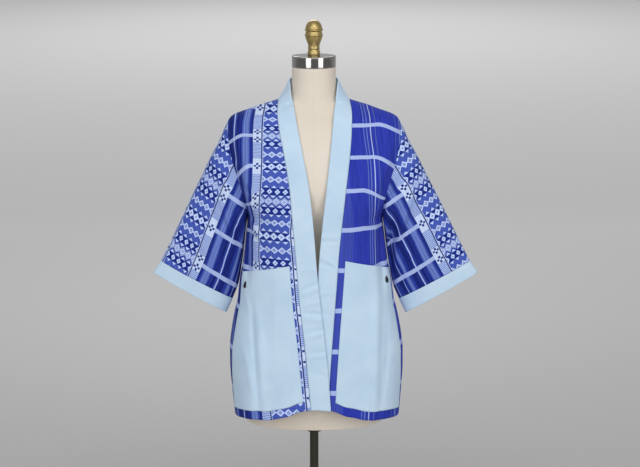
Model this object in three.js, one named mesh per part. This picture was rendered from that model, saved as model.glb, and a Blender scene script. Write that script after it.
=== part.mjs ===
// Hip-length kimono jacket, worn open on a limbless dress form with a pole stand.
// Millimetres, +Z up, the front towards -Y. The wearer's right side is at -X.
// The origin is the middle of the stand's underside.

import * as THREE from 'three';

// ---------- driving dimensions ----------

const CLOTH_WALL = 2;
const BAND_WALL = 3;
const SEAM_GAP = 0.3;
const UNDERARM_CLEAR = 0.5;
const LAP = { lift: 5.5, fromX: -130, fullX: -50, fullZ: 1000, endZ: 1150 };
const BAND_PROUD = 0.8;
const COLLAR_SETBACK = 0.014;
const SWAY_AT_HEM = 7;

const SHOULDER_TIP = { x: 207, z: 1306 };
const NECK_POINT = { x: 86, z: 1358 };
const NAPE_RISE = 8;
const ARMPIT_Z = 1076;
const HEM_MEAN_Z = 580;

const SLEEVE_START = 0.0012;
const SLEEVE_BLEND = 0.42;
const SLEEVE_FULLNESS = 0.85;
const CUFF_START = 0.92;
const CUFF_GAP = 0.0009;
const POCKET_TOP = { right: 0.513, left: 0.495 };
const POCKET_FROM_BAND = 17;
// Each pocket stops short of the side seam, at its top by less than at its bottom.
const POCKET_FROM_SIDE = { right: [40, 60], left: [32, 62] };
const POCKET_BULGE = 2.5;
const POCKET_BOTTOM = 0.97;
const STUD = { halfWidth: 3.2, length: 15, height: 2.4, down: 0.6, across: 0.9, taper: 0.35, sides: 12 };

const NECK_RADIUS = 52.5;
const CAP = { bottom: 1436, top: 1463, lip: 2.5, proud: 0.6 };
const FINIAL_BASE = 1463;
const FORM_BOTTOM = 556;
const SOCKET = { radius: 19, flange: 42, flangeHeight: 4, chamfer: 2, height: 34 };
const POLE_RADIUS = 11;
const BASE = {
  radius: 192, rim: 9, bevelRise: 5, bevelRun: 7, height: 26, foot: 36, neck: 22, neckRise: 6,
};
const BOSS = { radius: 15, top: 62 };

const ROWS_BELOW_ARMPIT = 3;
const ROWS_POCKET = 6;
const COLUMNS_POCKET = 10;
const COLUMNS_BESIDE_POCKET = 3;
const COLUMNS_BACK = 26;
const BAND_STATIONS = 24;
const BAND_TOP_LEVEL = 0.018;
const SLEEVE_RINGS = 11;
const SLEEVE_SIDES = 24;
const ROWS_ARMHOLE = SLEEVE_SIDES / 2;
const ROWS_ABOVE_POCKET = ROWS_ARMHOLE + ROWS_BELOW_ARMPIT;
const BAND_CROWDING = 1.6;
const CUFF_RINGS = 2;
const FORM_SIDES = 32;
const TURNED_SIDES = { cap: 32, finial: 20, socket: 24, pole: 20, base: 36 };
const LINE_SAMPLES = 80;
const SOLVE_STEPS = 40;

// Horizontal sections of the torso and neck: half width, depth to the front and
// to the back of the shoulder plane, and the power of the superellipse.
const FORM_SECTIONS = [
  { z: 556, half: 172, front: 106, back: 104, power: 2.2 },
  { z: 600, half: 175, front: 109, back: 108, power: 2.2 },
  { z: 700, half: 177, front: 112, back: 116, power: 2.25 },
  { z: 790, half: 175, front: 112, back: 118, power: 2.3 },
  { z: 870, half: 163, front: 106, back: 108, power: 2.3 },
  { z: 950, half: 140, front: 96, back: 96, power: 2.2 },
  { z: 1005, half: 124, front: 90, back: 88, power: 2.15 },
  { z: 1060, half: 130, front: 98, back: 92, power: 2.15 },
  { z: 1110, half: 140, front: 112, back: 98, power: 2.2 },
  { z: 1150, half: 147, front: 118, back: 102, power: 2.2 },
  { z: 1200, half: 158, front: 110, back: 103, power: 2.15 },
  { z: 1250, half: 176, front: 96, back: 98, power: 2.1 },
  { z: 1285, half: 186, front: 84, back: 90, power: 2.1 },
  { z: 1303, half: 188, front: 77, back: 84, power: 2 },
  { z: 1310.5, half: 186, front: 73, back: 80, power: 1.9 },
  { z: 1316.5, half: 182, front: 71, back: 77, power: 1.8 },
  { z: 1323.5, half: 174, front: 69, back: 75, power: 1.7 },
  { z: 1331.8, half: 154, front: 66.5, back: 71, power: 1.65 },
  { z: 1340.8, half: 130, front: 64, back: 68, power: 1.6 },
  { z: 1347.8, half: 106, front: 61.5, back: 65, power: 1.6 },
  { z: 1353.8, half: 86, front: 59, back: 62, power: 1.6 },
  { z: 1360, half: 71, front: 57.5, back: 59, power: 1.7 },
  { z: 1370, half: 61, front: 56, back: 56.5, power: 1.85 },
  { z: 1384, half: 55, front: 54.5, back: 55, power: 2 },
  { z: 1405, half: 52.8, front: 53, back: 53, power: 2 },
  { z: 1435.7, half: NECK_RADIUS, front: NECK_RADIUS, back: NECK_RADIUS, power: 2 },
];

// The same for the jacket's body. Above the shoulder tip the half width comes
// from the shoulder line instead.
const CLOTH_SECTIONS = [
  { z: 575, half: 204, front: 150, back: 143, power: 2.9 },
  { z: 632, half: 209, front: 146, back: 141, power: 2.9 },
  { z: 666, half: 212, front: 144, back: 139, power: 2.9 },
  { z: 705, half: 214, front: 142, back: 136, power: 2.9 },
  { z: 744, half: 214, front: 140, back: 133, power: 2.9 },
  { z: 782, half: 210, front: 138, back: 129, power: 2.8 },
  { z: 841, half: 199, front: 136, back: 124, power: 2.7 },
  { z: 864, half: 193, front: 135, back: 122, power: 2.65 },
  { z: 917, half: 184.5, front: 134, back: 119, power: 2.5 },
  { z: 965, half: 176, front: 133, back: 117, power: 2.45 },
  { z: 1024, half: 168.5, front: 132, back: 115, power: 2.35 },
  { z: 1076, half: 165, front: 131.5, back: 114, power: 2.3 },
  { z: 1090, half: 173, front: 131, back: 114, power: 2.3 },
  { z: 1110, half: 184, front: 130, back: 114, power: 2.25 },
  { z: 1140, half: 198, front: 127, back: 114, power: 2.2 },
  { z: 1178, half: 214, front: 120, back: 113, power: 2.15 },
  { z: 1210, half: 221, front: 112, back: 110, power: 2.1 },
  { z: 1250, half: 221, front: 100, back: 104, power: 2.1 },
  { z: 1285, half: 215, front: 88, back: 95, power: 2.1 },
  { z: 1306, half: 207, front: 81, back: 88, power: 2.05 },
  { z: 1320, half: 195, front: 76, back: 83, power: 1.9 },
  { z: 1328, half: 177, front: 73, back: 79, power: 1.75 },
  { z: 1336, half: 154, front: 70, back: 75, power: 1.65 },
  { z: 1345, half: 130, front: 67.5, back: 72, power: 1.6 },
  { z: 1352, half: 106, front: 65, back: 69, power: 1.6 },
  { z: 1358, half: 86, front: 62.5, back: 66, power: 1.6 },
  { z: 1366, half: 70, front: 60, back: 64, power: 1.7 },
  { z: 1376, half: 62, front: 58, back: 62, power: 1.85 },
];

// The line that the cloth takes over the shoulder, from the neck outwards.
const SHOULDER_LINE = [
  { x: 0, z: 1386 },
  { x: 60, z: 1367 },
  { x: 86, z: 1358 },
  { x: 106, z: 1352 },
  { x: 130, z: 1345 },
  { x: 154, z: 1336 },
  { x: 177, z: 1328 },
  { x: 195, z: 1320 },
  { x: 202, z: 1314 },
  { x: 207, z: 1306 },
];

// The hem's height at each distance from the middle. The fronts rise towards
// the opening, the back hangs nearly level.
const HEM_LINE = [
  { x: 0, front: 624, back: 589 },
  { x: 40, front: 619, back: 588 },
  { x: 70, front: 606, back: 590 },
  { x: 90, front: 601, back: 592 },
  { x: 120, front: 593, back: 593 },
  { x: 150, front: 591, back: 591 },
  { x: 180, front: 588, back: 588 },
  { x: 207, front: 580, back: 580 },
];

// Where the body panels end at the armhole, from the armpit to the shoulder tip.
const ARMHOLE_LINE = [
  { z: 1076, x: 165 },
  { z: 1080, x: 164 },
  { z: 1090, x: 163.8 },
  { z: 1110, x: 166.5 },
  { z: 1140, x: 173 },
  { z: 1178, x: 184.5 },
  { z: 1210, x: 195 },
  { z: 1250, x: 204 },
  { z: 1285, x: 207 },
  { z: 1306, x: 207 },
];

// Distance of each front's band seam and of the band's free edge from the
// middle, positive towards the panel's own side.
const RIGHT_BAND_LINES = [
  { z: 575, seam: 9, edge: -38 },
  { z: 622, seam: 13.6, edge: -34.4 },
  { z: 698, seam: 20, edge: -30 },
  { z: 797, seam: 29, edge: -21 },
  { z: 894, seam: 39, edge: -10.5 },
  { z: 979, seam: 45, edge: -3.2 },
  { z: 1052, seam: 51, edge: 1.6 },
  { z: 1158, seam: 59, edge: 12 },
  { z: 1226, seam: 69.5, edge: 24 },
  { z: 1281, seam: 80, edge: 35 },
  { z: 1312, seam: 85, edge: 41 },
  { z: 1335, seam: 87, edge: 45 },
  { z: 1358, seam: 86, edge: 50 },
];
const LEFT_BAND_LINES = [
  { z: 575, seam: 24, edge: -25 },
  { z: 622, seam: 27.5, edge: -21.5 },
  { z: 722, seam: 34.5, edge: -15.5 },
  { z: 821, seam: 42.5, edge: -7.5 },
  { z: 936, seam: 52, edge: 5.5 },
  { z: 1005, seam: 57.5, edge: 11 },
  { z: 1088, seam: 67, edge: 20 },
  { z: 1170, seam: 77, edge: 30 },
  { z: 1237, seam: 85.5, edge: 38 },
  { z: 1292, seam: 90, edge: 44 },
  { z: 1325, seam: 91, edge: 47 },
  { z: 1340, seam: 90, edge: 49 },
  { z: 1358, seam: 86, edge: 52 },
];

// The standing part of the neckband: where its free edge runs at each point of
// the seam, over the shoulder by the seam's height, then round the neckline.
const COLLAR_FRONT = [
  { seamZ: 1351, edgeX: 52.5, edgeY: -49, edgeZ: 1362 },
  { seamZ: 1356, edgeX: 56, edgeY: -33, edgeZ: 1383 },
  { seamZ: 1358, edgeX: 58.5, edgeY: -12, edgeZ: 1399 },
];
const COLLAR_BACK = [
  { seamX: 80, edgeX: 59.5, edgeY: 14, edgeZ: 1405 },
  { seamX: 60, edgeX: 49, edgeY: 42, edgeZ: 1408 },
  { seamX: 46, edgeX: 39, edgeY: 53, edgeZ: 1410 },
  { seamX: 31, edgeX: 27, edgeY: 61, edgeZ: 1411 },
];
const NAPE = { seamX: 0, edgeX: 0, edgeY: 67, edgeZ: 1412 };

// The sleeve's upper fold and its underarm line, as shares of its length.
const SLEEVE_TOP = [
  { share: 0, x: 207.5, z: 1306 },
  { share: 0.05, x: 217, z: 1288 },
  { share: 0.13, x: 230, z: 1258 },
  { share: 0.225, x: 250, z: 1221 },
  { share: 0.32, x: 269, z: 1182 },
  { share: 0.53, x: 306, z: 1108 },
  { share: 0.8, x: 356, z: 1006 },
  { share: 0.92, x: 379.5, z: 960 },
  { share: 1, x: 399, z: 930 },
];
const SLEEVE_UNDER = [
  { share: 0, x: 166, z: 1076, depth: 60 },
  { share: 0.2, x: 169.6, z: 1035, depth: 54 },
  { share: 0.4, x: 174.4, z: 990, depth: 45 },
  { share: 0.6, x: 181.4, z: 945, depth: 35 },
  { share: 0.78, x: 189.4, z: 905, depth: 26 },
  { share: 0.92, x: 206, z: 871, depth: 20 },
  { share: 1, x: 224.5, z: 838, depth: 17 },
];

// Large soft folds: a line from one point to another on the front or the back,
// in X and Z, with its half width and its height (a trough is negative).
const FOLD_FADE = { start: -0.1, full: 0.3, hold: 0.8, end: 1.15 };
const FOLD_FACING = 0.6;
const FOLDS = [
  { face: -1, x0: -203, z0: 1268, x1: -165, z1: 1095, width: 13, height: -8 },
  { face: -1, x0: -188, z0: 1285, x1: -146, z1: 1120, width: 15, height: 5 },
  { face: -1, x0: -226, z0: 1238, x1: -186, z1: 1060, width: 14, height: 7 },
  { face: -1, x0: -246, z0: 1190, x1: -200, z1: 1010, width: 15, height: -5 },
  { face: -1, x0: 204, z0: 1262, x1: 168, z1: 1100, width: 12, height: -7 },
  { face: -1, x0: 190, z0: 1282, x1: 152, z1: 1130, width: 16, height: 4 },
  { face: -1, x0: 230, z0: 1232, x1: 190, z1: 1050, width: 15, height: 6 },
  { face: -1, x0: 262, z0: 1180, x1: 214, z1: 985, width: 17, height: -4 },
  { face: -1, x0: -152, z0: 800, x1: -168, z1: 585, width: 24, height: 5 },
  { face: -1, x0: -122, z0: 720, x1: -128, z1: 585, width: 18, height: -4 },
  { face: -1, x0: 148, z0: 930, x1: 152, z1: 585, width: 22, height: 4 },
  { face: -1, x0: 104, z0: 700, x1: 98, z1: 590, width: 22, height: -3 },
  { face: 1, x0: -204, z0: 1262, x1: -160, z1: 1110, width: 13, height: -7 },
  { face: 1, x0: -180, z0: 1280, x1: -128, z1: 1080, width: 18, height: 5 },
  { face: 1, x0: -228, z0: 1232, x1: -188, z1: 1050, width: 15, height: 6 },
  { face: 1, x0: 203, z0: 1266, x1: 164, z1: 1100, width: 13, height: -8 },
  { face: 1, x0: 184, z0: 1282, x1: 136, z1: 1060, width: 17, height: 6 },
  { face: 1, x0: 232, z0: 1226, x1: 192, z1: 1040, width: 15, height: 5 },
  { face: 1, x0: -96, z0: 1000, x1: -112, z1: 585, width: 30, height: 6 },
  { face: 1, x0: -30, z0: 940, x1: -36, z1: 585, width: 34, height: -5 },
  { face: 1, x0: 52, z0: 980, x1: 60, z1: 585, width: 32, height: 6 },
  { face: 1, x0: 132, z0: 900, x1: 140, z1: 585, width: 26, height: -4 },
];

// Turned finial: height above the neck cap and radius.
const FINIAL_PROFILE = [
  { up: 0, radius: 14 },
  { up: 3, radius: 14 },
  { up: 6, radius: 15.8 },
  { up: 11, radius: 15.4 },
  { up: 14, radius: 12 },
  { up: 18, radius: 12.4 },
  { up: 22, radius: 13 },
  { up: 28, radius: 15.5 },
  { up: 36, radius: 19.4 },
  { up: 45, radius: 22 },
  { up: 51, radius: 22.2 },
  { up: 55, radius: 19.8 },
  { up: 59, radius: 21 },
  { up: 63, radius: 22.3 },
  { up: 68, radius: 21 },
  { up: 74, radius: 18.6 },
  { up: 80, radius: 13.5 },
  { up: 84, radius: 6.5 },
];

// ---------- curves through tables ----------

// A smooth curve through one column of a table, with no overshoot between rows.
function through(rows, key, column) {
  const at = rows.map((row) => row[key]);
  const value = rows.map((row) => row[column]);
  const last = rows.length - 1;
  const slope = at.slice(1).map((x, i) => (value[i + 1] - value[i]) / (x - at[i]));
  const tangent = value.map((_, i) => {
    if (i === 0) return slope[0];
    if (i === last) return slope[last - 1];
    const flat = slope[i - 1] * slope[i] <= 0;
    return flat ? 0 : (2 * slope[i - 1] * slope[i]) / (slope[i - 1] + slope[i]);
  });
  return (x) => {
    const t = THREE.MathUtils.clamp(x, at[0], at[last]);
    let i = 0;
    while (i < last - 1 && t > at[i + 1]) i += 1;
    const width = at[i + 1] - at[i];
    const s = (t - at[i]) / width;
    const rise = (value[i + 1] - value[i]) * s * s * (3 - 2 * s);
    const bend = width * s * (1 - s) * (tangent[i] * (1 - s) - tangent[i + 1] * s);
    return value[i] + rise + bend;
  };
}

const lerp = THREE.MathUtils.lerp;
const smoothstep = THREE.MathUtils.smoothstep;

const shoulderZ = through(SHOULDER_LINE, 'x', 'z');
const hemZ = {
  '-1': through(HEM_LINE, 'x', 'front'),
  1: through(HEM_LINE, 'x', 'back'),
};
const armholeX = through(ARMHOLE_LINE, 'z', 'x');
const clothHalfBelow = through(CLOTH_SECTIONS, 'z', 'half');
const clothPower = through(CLOTH_SECTIONS, 'z', 'power');
const clothDepthAt = {
  '-1': through(CLOTH_SECTIONS, 'z', 'front'),
  1: through(CLOTH_SECTIONS, 'z', 'back'),
};
const bandLines = {
  '-1': {
    seam: through(RIGHT_BAND_LINES, 'z', 'seam'),
    edge: through(RIGHT_BAND_LINES, 'z', 'edge'),
  },
  1: {
    seam: through(LEFT_BAND_LINES, 'z', 'seam'),
    edge: through(LEFT_BAND_LINES, 'z', 'edge'),
  },
};

// ---------- the jacket's surface ----------

// The half width at a height. Over the shoulder it is the shoulder line turned round.
function clothHalf(z) {
  if (z <= SHOULDER_TIP.z) return clothHalfBelow(z);
  let low = 0;
  let high = SHOULDER_TIP.x;
  for (let step = 0; step < SOLVE_STEPS; step += 1) {
    const middle = (low + high) / 2;
    if (shoulderZ(middle) > z) low = middle;
    else high = middle;
  }
  return (low + high) / 2;
}

// How far a large fold lifts the cloth out at a point of the front or the back.
function foldHeight(x, z, face) {
  let height = 0;
  for (const fold of FOLDS) {
    if (fold.face !== face) continue;
    const runX = fold.x1 - fold.x0;
    const runZ = fold.z1 - fold.z0;
    const length = Math.hypot(runX, runZ);
    const along = ((x - fold.x0) * runX + (z - fold.z0) * runZ) / (length * length);
    const across = Math.abs((x - fold.x0) * runZ - (z - fold.z0) * runX) / length;
    const fadeIn = smoothstep(along, FOLD_FADE.start, FOLD_FADE.full);
    const fadeOut = 1 - smoothstep(along, FOLD_FADE.hold, FOLD_FADE.end);
    height += fold.height * fadeIn * fadeOut * Math.exp(-((across / fold.width) ** 2));
  }
  return height;
}

// The wearer's right front laps over the left one towards the middle.
function lapLift(x, z, side) {
  if (side > 0) return 0;
  return LAP.lift * smoothstep(x, LAP.fromX, LAP.fullX) * (1 - smoothstep(z, LAP.fullZ, LAP.endZ));
}

function sway(z) {
  return (SWAY_AT_HEM * Math.max(0, SHOULDER_TIP.z - z)) / (SHOULDER_TIP.z - HEM_MEAN_Z);
}

// A point of the body's outer surface, on the front (face -1) or the back (face 1).
// Folds and the lap lift it only where it faces forwards or backwards.
function bodyPoint(x, z, face, lift = 0) {
  const power = clothPower(z);
  const reach = Math.min(1, Math.abs(x) / clothHalf(z));
  const centre = clothDepthAt[face](z);
  const depth = centre * (1 - reach ** power) ** (1 / power);
  const facing = smoothstep(depth, 0, FOLD_FACING * centre);
  const out = depth + (foldHeight(x, z, face) + lift) * facing;
  return new THREE.Vector3(x + sway(z), face * out, z);
}

// The outward direction of the surface, from two short steps on it.
function bodyNormal(x, z, face) {
  const step = 1.5;
  const side = Math.sign(x) || 1;
  const from = bodyPoint(x, z, face);
  const inwards = bodyPoint(x - side * step, z, face).sub(from);
  const down = bodyPoint(x, z - 2 * step, face).sub(from);
  const normal = inwards.cross(down).normalize();
  const outwards = new THREE.Vector3(side * 0.3, face, 0.2);
  return normal.dot(outwards) < 0 ? normal.negate() : normal;
}

// The height of a level line: 0 at the shoulder or neckline, 1 at the hem.
function levelZ(x, level, face) {
  const neckline = NECK_POINT.z + NAPE_RISE * (1 - (x / NECK_POINT.x) ** 2);
  const onNeck = face > 0 && Math.abs(x) < NECK_POINT.x;
  const top = onNeck ? neckline : shoulderZ(Math.abs(x));
  return lerp(top, hemZ[face](Math.abs(x)), level);
}

// Where a level line leaves the panel: at the armhole, or at the side seam.
function sideEdge(level, face) {
  let x = SHOULDER_TIP.x;
  for (let step = 0; step < SOLVE_STEPS; step += 1) {
    const z = levelZ(x, level, face);
    x = z > ARMPIT_Z ? armholeX(z) : clothHalf(z);
  }
  return x;
}

function bandSeam(level, side) {
  let x = NECK_POINT.x;
  const seam = bandLines[side].seam;
  for (let step = 0; step < SOLVE_STEPS; step += 1) x = seam(levelZ(x, level, -1));
  return Math.max(x, level === 0 ? NECK_POINT.x : 0);
}

// A level line as a curve that is read by the distance along it.
function measured(points) {
  const distance = [0];
  for (let i = 1; i < points.length; i += 1) {
    distance.push(distance[i - 1] + points[i].distanceTo(points[i - 1]));
  }
  const length = distance[distance.length - 1];
  const at = (wanted) => {
    let i = 1;
    while (i < points.length - 1 && distance[i] < wanted) i += 1;
    const share = (wanted - distance[i - 1]) / (distance[i] - distance[i - 1]);
    return new THREE.Vector3().lerpVectors(points[i - 1], points[i], share);
  };
  return { length, at };
}

// One front at one level, from its band seam to its armhole or side seam.
function frontLevel(side, level) {
  const from = bandSeam(level, side);
  const to = sideEdge(level, -1);
  const points = [];
  for (let i = 0; i <= LINE_SAMPLES; i += 1) {
    const x = side * lerp(from, to, Math.sin((i / LINE_SAMPLES) * (Math.PI / 2)));
    const z = levelZ(x, level, -1);
    points.push(bodyPoint(x, z, -1, lapLift(x, z, side)));
  }
  return measured(points);
}

// The back at one level, from one side to the other.
function backLevel(level) {
  const to = sideEdge(level, 1);
  const points = [];
  for (let i = 0; i <= 2 * LINE_SAMPLES; i += 1) {
    const x = to * Math.sin((i / LINE_SAMPLES - 1) * (Math.PI / 2));
    points.push(bodyPoint(x, levelZ(x, level, 1), 1));
  }
  return measured(points);
}

// ---------- solids ----------

// A solid from closed triangles, turned so that its faces point out.
function solid(points, triangles) {
  let volume = 0;
  for (const [a, b, c] of triangles) {
    volume += points[a].dot(new THREE.Vector3().crossVectors(points[b], points[c]));
  }
  const index = triangles.flatMap(([a, b, c]) => (volume < 0 ? [a, c, b] : [a, b, c]));
  const geometry = new THREE.BufferGeometry();
  const position = points.flatMap((point) => [point.x, point.y, point.z]);
  geometry.setAttribute('position', new THREE.Float32BufferAttribute(position, 3));
  geometry.setIndex(index);
  geometry.computeVertexNormals();
  return geometry;
}

// The unit normals of a grid of points, each the mean of the cells round it.
function gridNormals(grid, wrap) {
  const rows = grid.length;
  const columns = grid[0].length;
  return grid.map((row, j) => row.map((_, i) => {
    const left = wrap ? (i + columns - 1) % columns : Math.max(0, i - 1);
    const right = wrap ? (i + 1) % columns : Math.min(columns - 1, i + 1);
    const across = grid[j][right].clone().sub(grid[j][left]);
    const down = grid[Math.min(rows - 1, j + 1)][i].clone().sub(grid[Math.max(0, j - 1)][i]);
    return across.cross(down).normalize();
  }));
}

function moved(grid, normals, distance) {
  return grid.map((row, j) => row.map((point, i) => {
    const shift = typeof distance === 'function' ? distance(j, i) : distance;
    return point.clone().addScaledVector(normals[j][i], shift);
  }));
}

// A closed wall between two grids of points, open or wrapped round into a tube.
function wallBetween(outer, inner, wrap = false) {
  const rows = outer.length;
  const columns = outer[0].length;
  const points = [...outer.flat(), ...inner.flat()];
  const layer = rows * columns;
  const id = (j, i, k) => k * layer + j * columns + (i % columns);
  const triangles = [];
  const quad = (a, b, c, d) => triangles.push([a, b, c], [a, c, d]);
  const lastColumn = wrap ? columns : columns - 1;
  for (let j = 0; j < rows - 1; j += 1) {
    for (let i = 0; i < lastColumn; i += 1) {
      quad(id(j, i, 0), id(j, i + 1, 0), id(j + 1, i + 1, 0), id(j + 1, i, 0));
      quad(id(j, i, 1), id(j + 1, i, 1), id(j + 1, i + 1, 1), id(j, i + 1, 1));
    }
    if (!wrap) {
      quad(id(j, 0, 0), id(j + 1, 0, 0), id(j + 1, 0, 1), id(j, 0, 1));
      const end = columns - 1;
      quad(id(j, end, 0), id(j, end, 1), id(j + 1, end, 1), id(j + 1, end, 0));
    }
  }
  for (let i = 0; i < lastColumn; i += 1) {
    const end = rows - 1;
    quad(id(0, i, 0), id(0, i, 1), id(0, i + 1, 1), id(0, i + 1, 0));
    quad(id(end, i, 0), id(end, i + 1, 0), id(end, i + 1, 1), id(end, i, 1));
  }
  return solid(points, triangles);
}

// A closed stack of rings, each end covered by a fan round its own middle.
function stack(rings) {
  const sides = rings[0].length;
  const points = rings.flat();
  const triangles = [];
  for (let j = 0; j < rings.length - 1; j += 1) {
    for (let i = 0; i < sides; i += 1) {
      const a = j * sides + i;
      const b = j * sides + ((i + 1) % sides);
      triangles.push([a, b, b + sides], [a, b + sides, a + sides]);
    }
  }
  for (const [row, turn] of [[0, 1], [rings.length - 1, -1]]) {
    const middle = new THREE.Vector3();
    rings[row].forEach((point) => middle.addScaledVector(point, 1 / sides));
    points.push(middle);
    for (let i = 0; i < sides; i += 1) {
      const a = row * sides + i;
      const b = row * sides + ((i + 1) % sides);
      triangles.push(turn > 0 ? [b, a, points.length - 1] : [a, b, points.length - 1]);
    }
  }
  return solid(points, triangles);
}

// A turned piece, from its radii at rising heights.
function turned(profile, segments) {
  const bottom = profile[0].z;
  const top = profile[profile.length - 1].z;
  const line = profile.map((row) => new THREE.Vector2(row.radius, row.z));
  line.unshift(new THREE.Vector2(0, bottom));
  line.push(new THREE.Vector2(0, top));
  return new THREE.LatheGeometry(line, segments).rotateX(Math.PI / 2);
}

// The height of an armhole ring's point, by its share of the way round.
function armholeZ(turn) {
  return lerp(SHOULDER_TIP.z, ARMPIT_Z, (1 - Math.cos(turn * 2 * Math.PI)) / 2);
}

// The level lines of a panel: one at each point of the armhole ring, which
// crowds them over the shoulder, then even ones to the pocket and down it, and
// one at the hem.
function levels(pocketTop) {
  const beside = Array.from({ length: ROWS_ARMHOLE + 1 }, (_, j) => {
    const z = armholeZ(j / SLEEVE_SIDES);
    const top = shoulderZ(armholeX(z));
    return (top - z) / (top - hemZ[-1](armholeX(z)));
  });
  const armpit = beside[ROWS_ARMHOLE];
  const below = Array.from({ length: ROWS_BELOW_ARMPIT - 1 }, (_, j) => (
    lerp(armpit, pocketTop, (j + 1) / ROWS_BELOW_ARMPIT)
  ));
  const pocket = Array.from({ length: ROWS_POCKET + 1 }, (_, j) => (
    lerp(pocketTop, POCKET_BOTTOM, j / ROWS_POCKET)
  ));
  return [...beside, ...below, ...pocket, 1];
}

// ---------- materials ----------

function finish(color, roughness, metalness = 0) {
  return new THREE.MeshStandardMaterial({ color, roughness, metalness });
}

const wovenCloth = finish(0x3238b0, 0.9);
const plainCotton = finish(0xb9d3ea, 0.85);
const studBlack = finish(0x1c1d2a, 0.45);
const linen = finish(0xddd2c3, 0.9);
const chrome = finish(0xc8c8ca, 0.2, 1);
const gildedMetal = finish(0x8f6b3c, 0.4, 1);
const bronzeMetal = finish(0x4a4440, 0.45, 0.9);

// ---------- jacket pieces ----------

const jacket = new THREE.Group();

function add(group, name, geometry, material) {
  const mesh = new THREE.Mesh(geometry, material);
  mesh.name = name;
  group.add(mesh);
}

// The wall's inner side follows the outer one. Along the shoulder both panels
// share one direction, so that the seam stays even through the wall.
function panelWall(grid, outward) {
  const face = outward.y;
  const normals = gridNormals(grid, false);
  const middle = normals[Math.floor(grid.length / 2)][Math.floor(grid[0].length / 2)];
  if (middle.dot(outward) < 0) normals.flat().forEach((normal) => normal.negate());
  armholeNormals(grid, normals, face > 0 ? [0, -1] : [-1], face);
  normals[0].forEach((normal, i) => {
    if (Math.abs(grid[0][i].y) > 1) return;
    const run = grid[0][Math.min(i + 1, grid[0].length - 1)].clone();
    run.sub(grid[0][Math.max(i - 1, 0)]);
    const slope = run.z / run.x;
    normal.set(-slope, 0, 1).normalize();
  });
  return { outer: grid, inner: moved(grid, normals, -CLOTH_WALL), normals };
}

// Along the armhole the panel takes the surface's own direction.
function armholeNormals(grid, normals, columns, face) {
  for (const column of columns) {
    grid.forEach((row, j) => {
      const point = row.at(column);
      if (j === 0 || point.z < ARMPIT_Z) return;
      normals[j].at(column).copy(bodyNormal(point.x - sway(point.z), point.z, face));
    });
  }
}

function seamGap(grid, face) {
  const half = SEAM_GAP / 2;
  grid.forEach((row) => row.forEach((point) => {
    if (Math.abs(point.y) < half) point.y = face * half;
  }));
  return grid;
}

// A front's points: the band seam, the pocket's columns, and those up to the side edge.
function frontGrid(side, pocketTop, [besideTop, besideBottom]) {
  return levels(pocketTop).map((level) => {
    const line = frontLevel(side, level);
    const down = THREE.MathUtils.clamp((level - pocketTop) / (POCKET_BOTTOM - pocketTop), 0, 1);
    const end = line.length - lerp(besideTop, besideBottom, down);
    const pocket = Array.from({ length: COLUMNS_POCKET + 1 }, (_, i) => (
      line.at(lerp(POCKET_FROM_BAND, end, i / COLUMNS_POCKET))
    ));
    const beside = Array.from({ length: COLUMNS_BESIDE_POCKET }, (_, i) => (
      line.at(lerp(end, line.length, (i + 1) / COLUMNS_BESIDE_POCKET))
    ));
    return [line.at(SEAM_GAP), ...pocket, ...beside];
  });
}

// A patch pocket repeats its panel's points, moved out by the seam gap, and
// stands off a little more at the middle of its open top.
function pocketGrids(panel) {
  const cut = (grid) => (
    grid.slice(ROWS_ABOVE_POCKET, -1).map((row) => row.slice(1, 2 + COLUMNS_POCKET))
  );
  const grid = cut(panel.outer);
  const normals = cut(panel.normals);
  const off = (j, i) => (
    SEAM_GAP + POCKET_BULGE * Math.sin((i / COLUMNS_POCKET) * Math.PI) * (1 - j / ROWS_POCKET)
  );
  return {
    inner: moved(grid, normals, off),
    outer: moved(grid, normals, (j, i) => off(j, i) + CLOTH_WALL),
  };
}

// A domed teardrop stud on one cell of the pocket, by its outer top corner.
function studGeometry(pocket) {
  const cell = [0, 1].flatMap((j) => [-4, -3].map((i) => pocket.outer[j].at(i)));
  const [topIn, topOut, lowIn, lowOut] = cell;
  const centre = new THREE.Vector3();
  centre.lerpVectors(
    topIn.clone().lerp(topOut, STUD.across), lowIn.clone().lerp(lowOut, STUD.across), STUD.down,
  );
  const up = topIn.clone().add(topOut).sub(lowIn).sub(lowOut).normalize();
  const across = topOut.clone().add(lowOut).sub(topIn).sub(lowIn);
  across.addScaledVector(up, -across.dot(up)).normalize();
  const out = new THREE.Vector3().crossVectors(across, up);
  if (out.dot(frontOutward) < 0) out.negate();
  const ring = (scale, height) => Array.from({ length: STUD.sides }, (_, i) => {
    const angle = (i / STUD.sides) * 2 * Math.PI;
    const taper = 1 - STUD.taper * Math.sin(angle);
    return centre.clone()
      .addScaledVector(across, scale * STUD.halfWidth * taper * Math.cos(angle))
      .addScaledVector(up, scale * (STUD.length / 2) * Math.sin(angle))
      .addScaledVector(out, 2 * SEAM_GAP + height);
  });
  return stack([ring(1, 0), ring(0.92, 0.55 * STUD.height), ring(0.45, STUD.height)]);
}

const frontOutward = new THREE.Vector3(0, -1, 0);
const backOutward = new THREE.Vector3(0, 1, 0);

for (const [name, side] of [['right', -1], ['left', 1]]) {
  const wall = panelWall(seamGap(frontGrid(side, POCKET_TOP[name], POCKET_FROM_SIDE[name]), -1), frontOutward);
  add(jacket, `front_${name}`, wallBetween(wall.outer, wall.inner), wovenCloth);
  const pocket = pocketGrids(wall);
  add(jacket, `pocket_${name}`, wallBetween(pocket.outer, pocket.inner), plainCotton);
  add(jacket, `pocket_stud_${name}`, studGeometry(pocket), studBlack);
}

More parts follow.
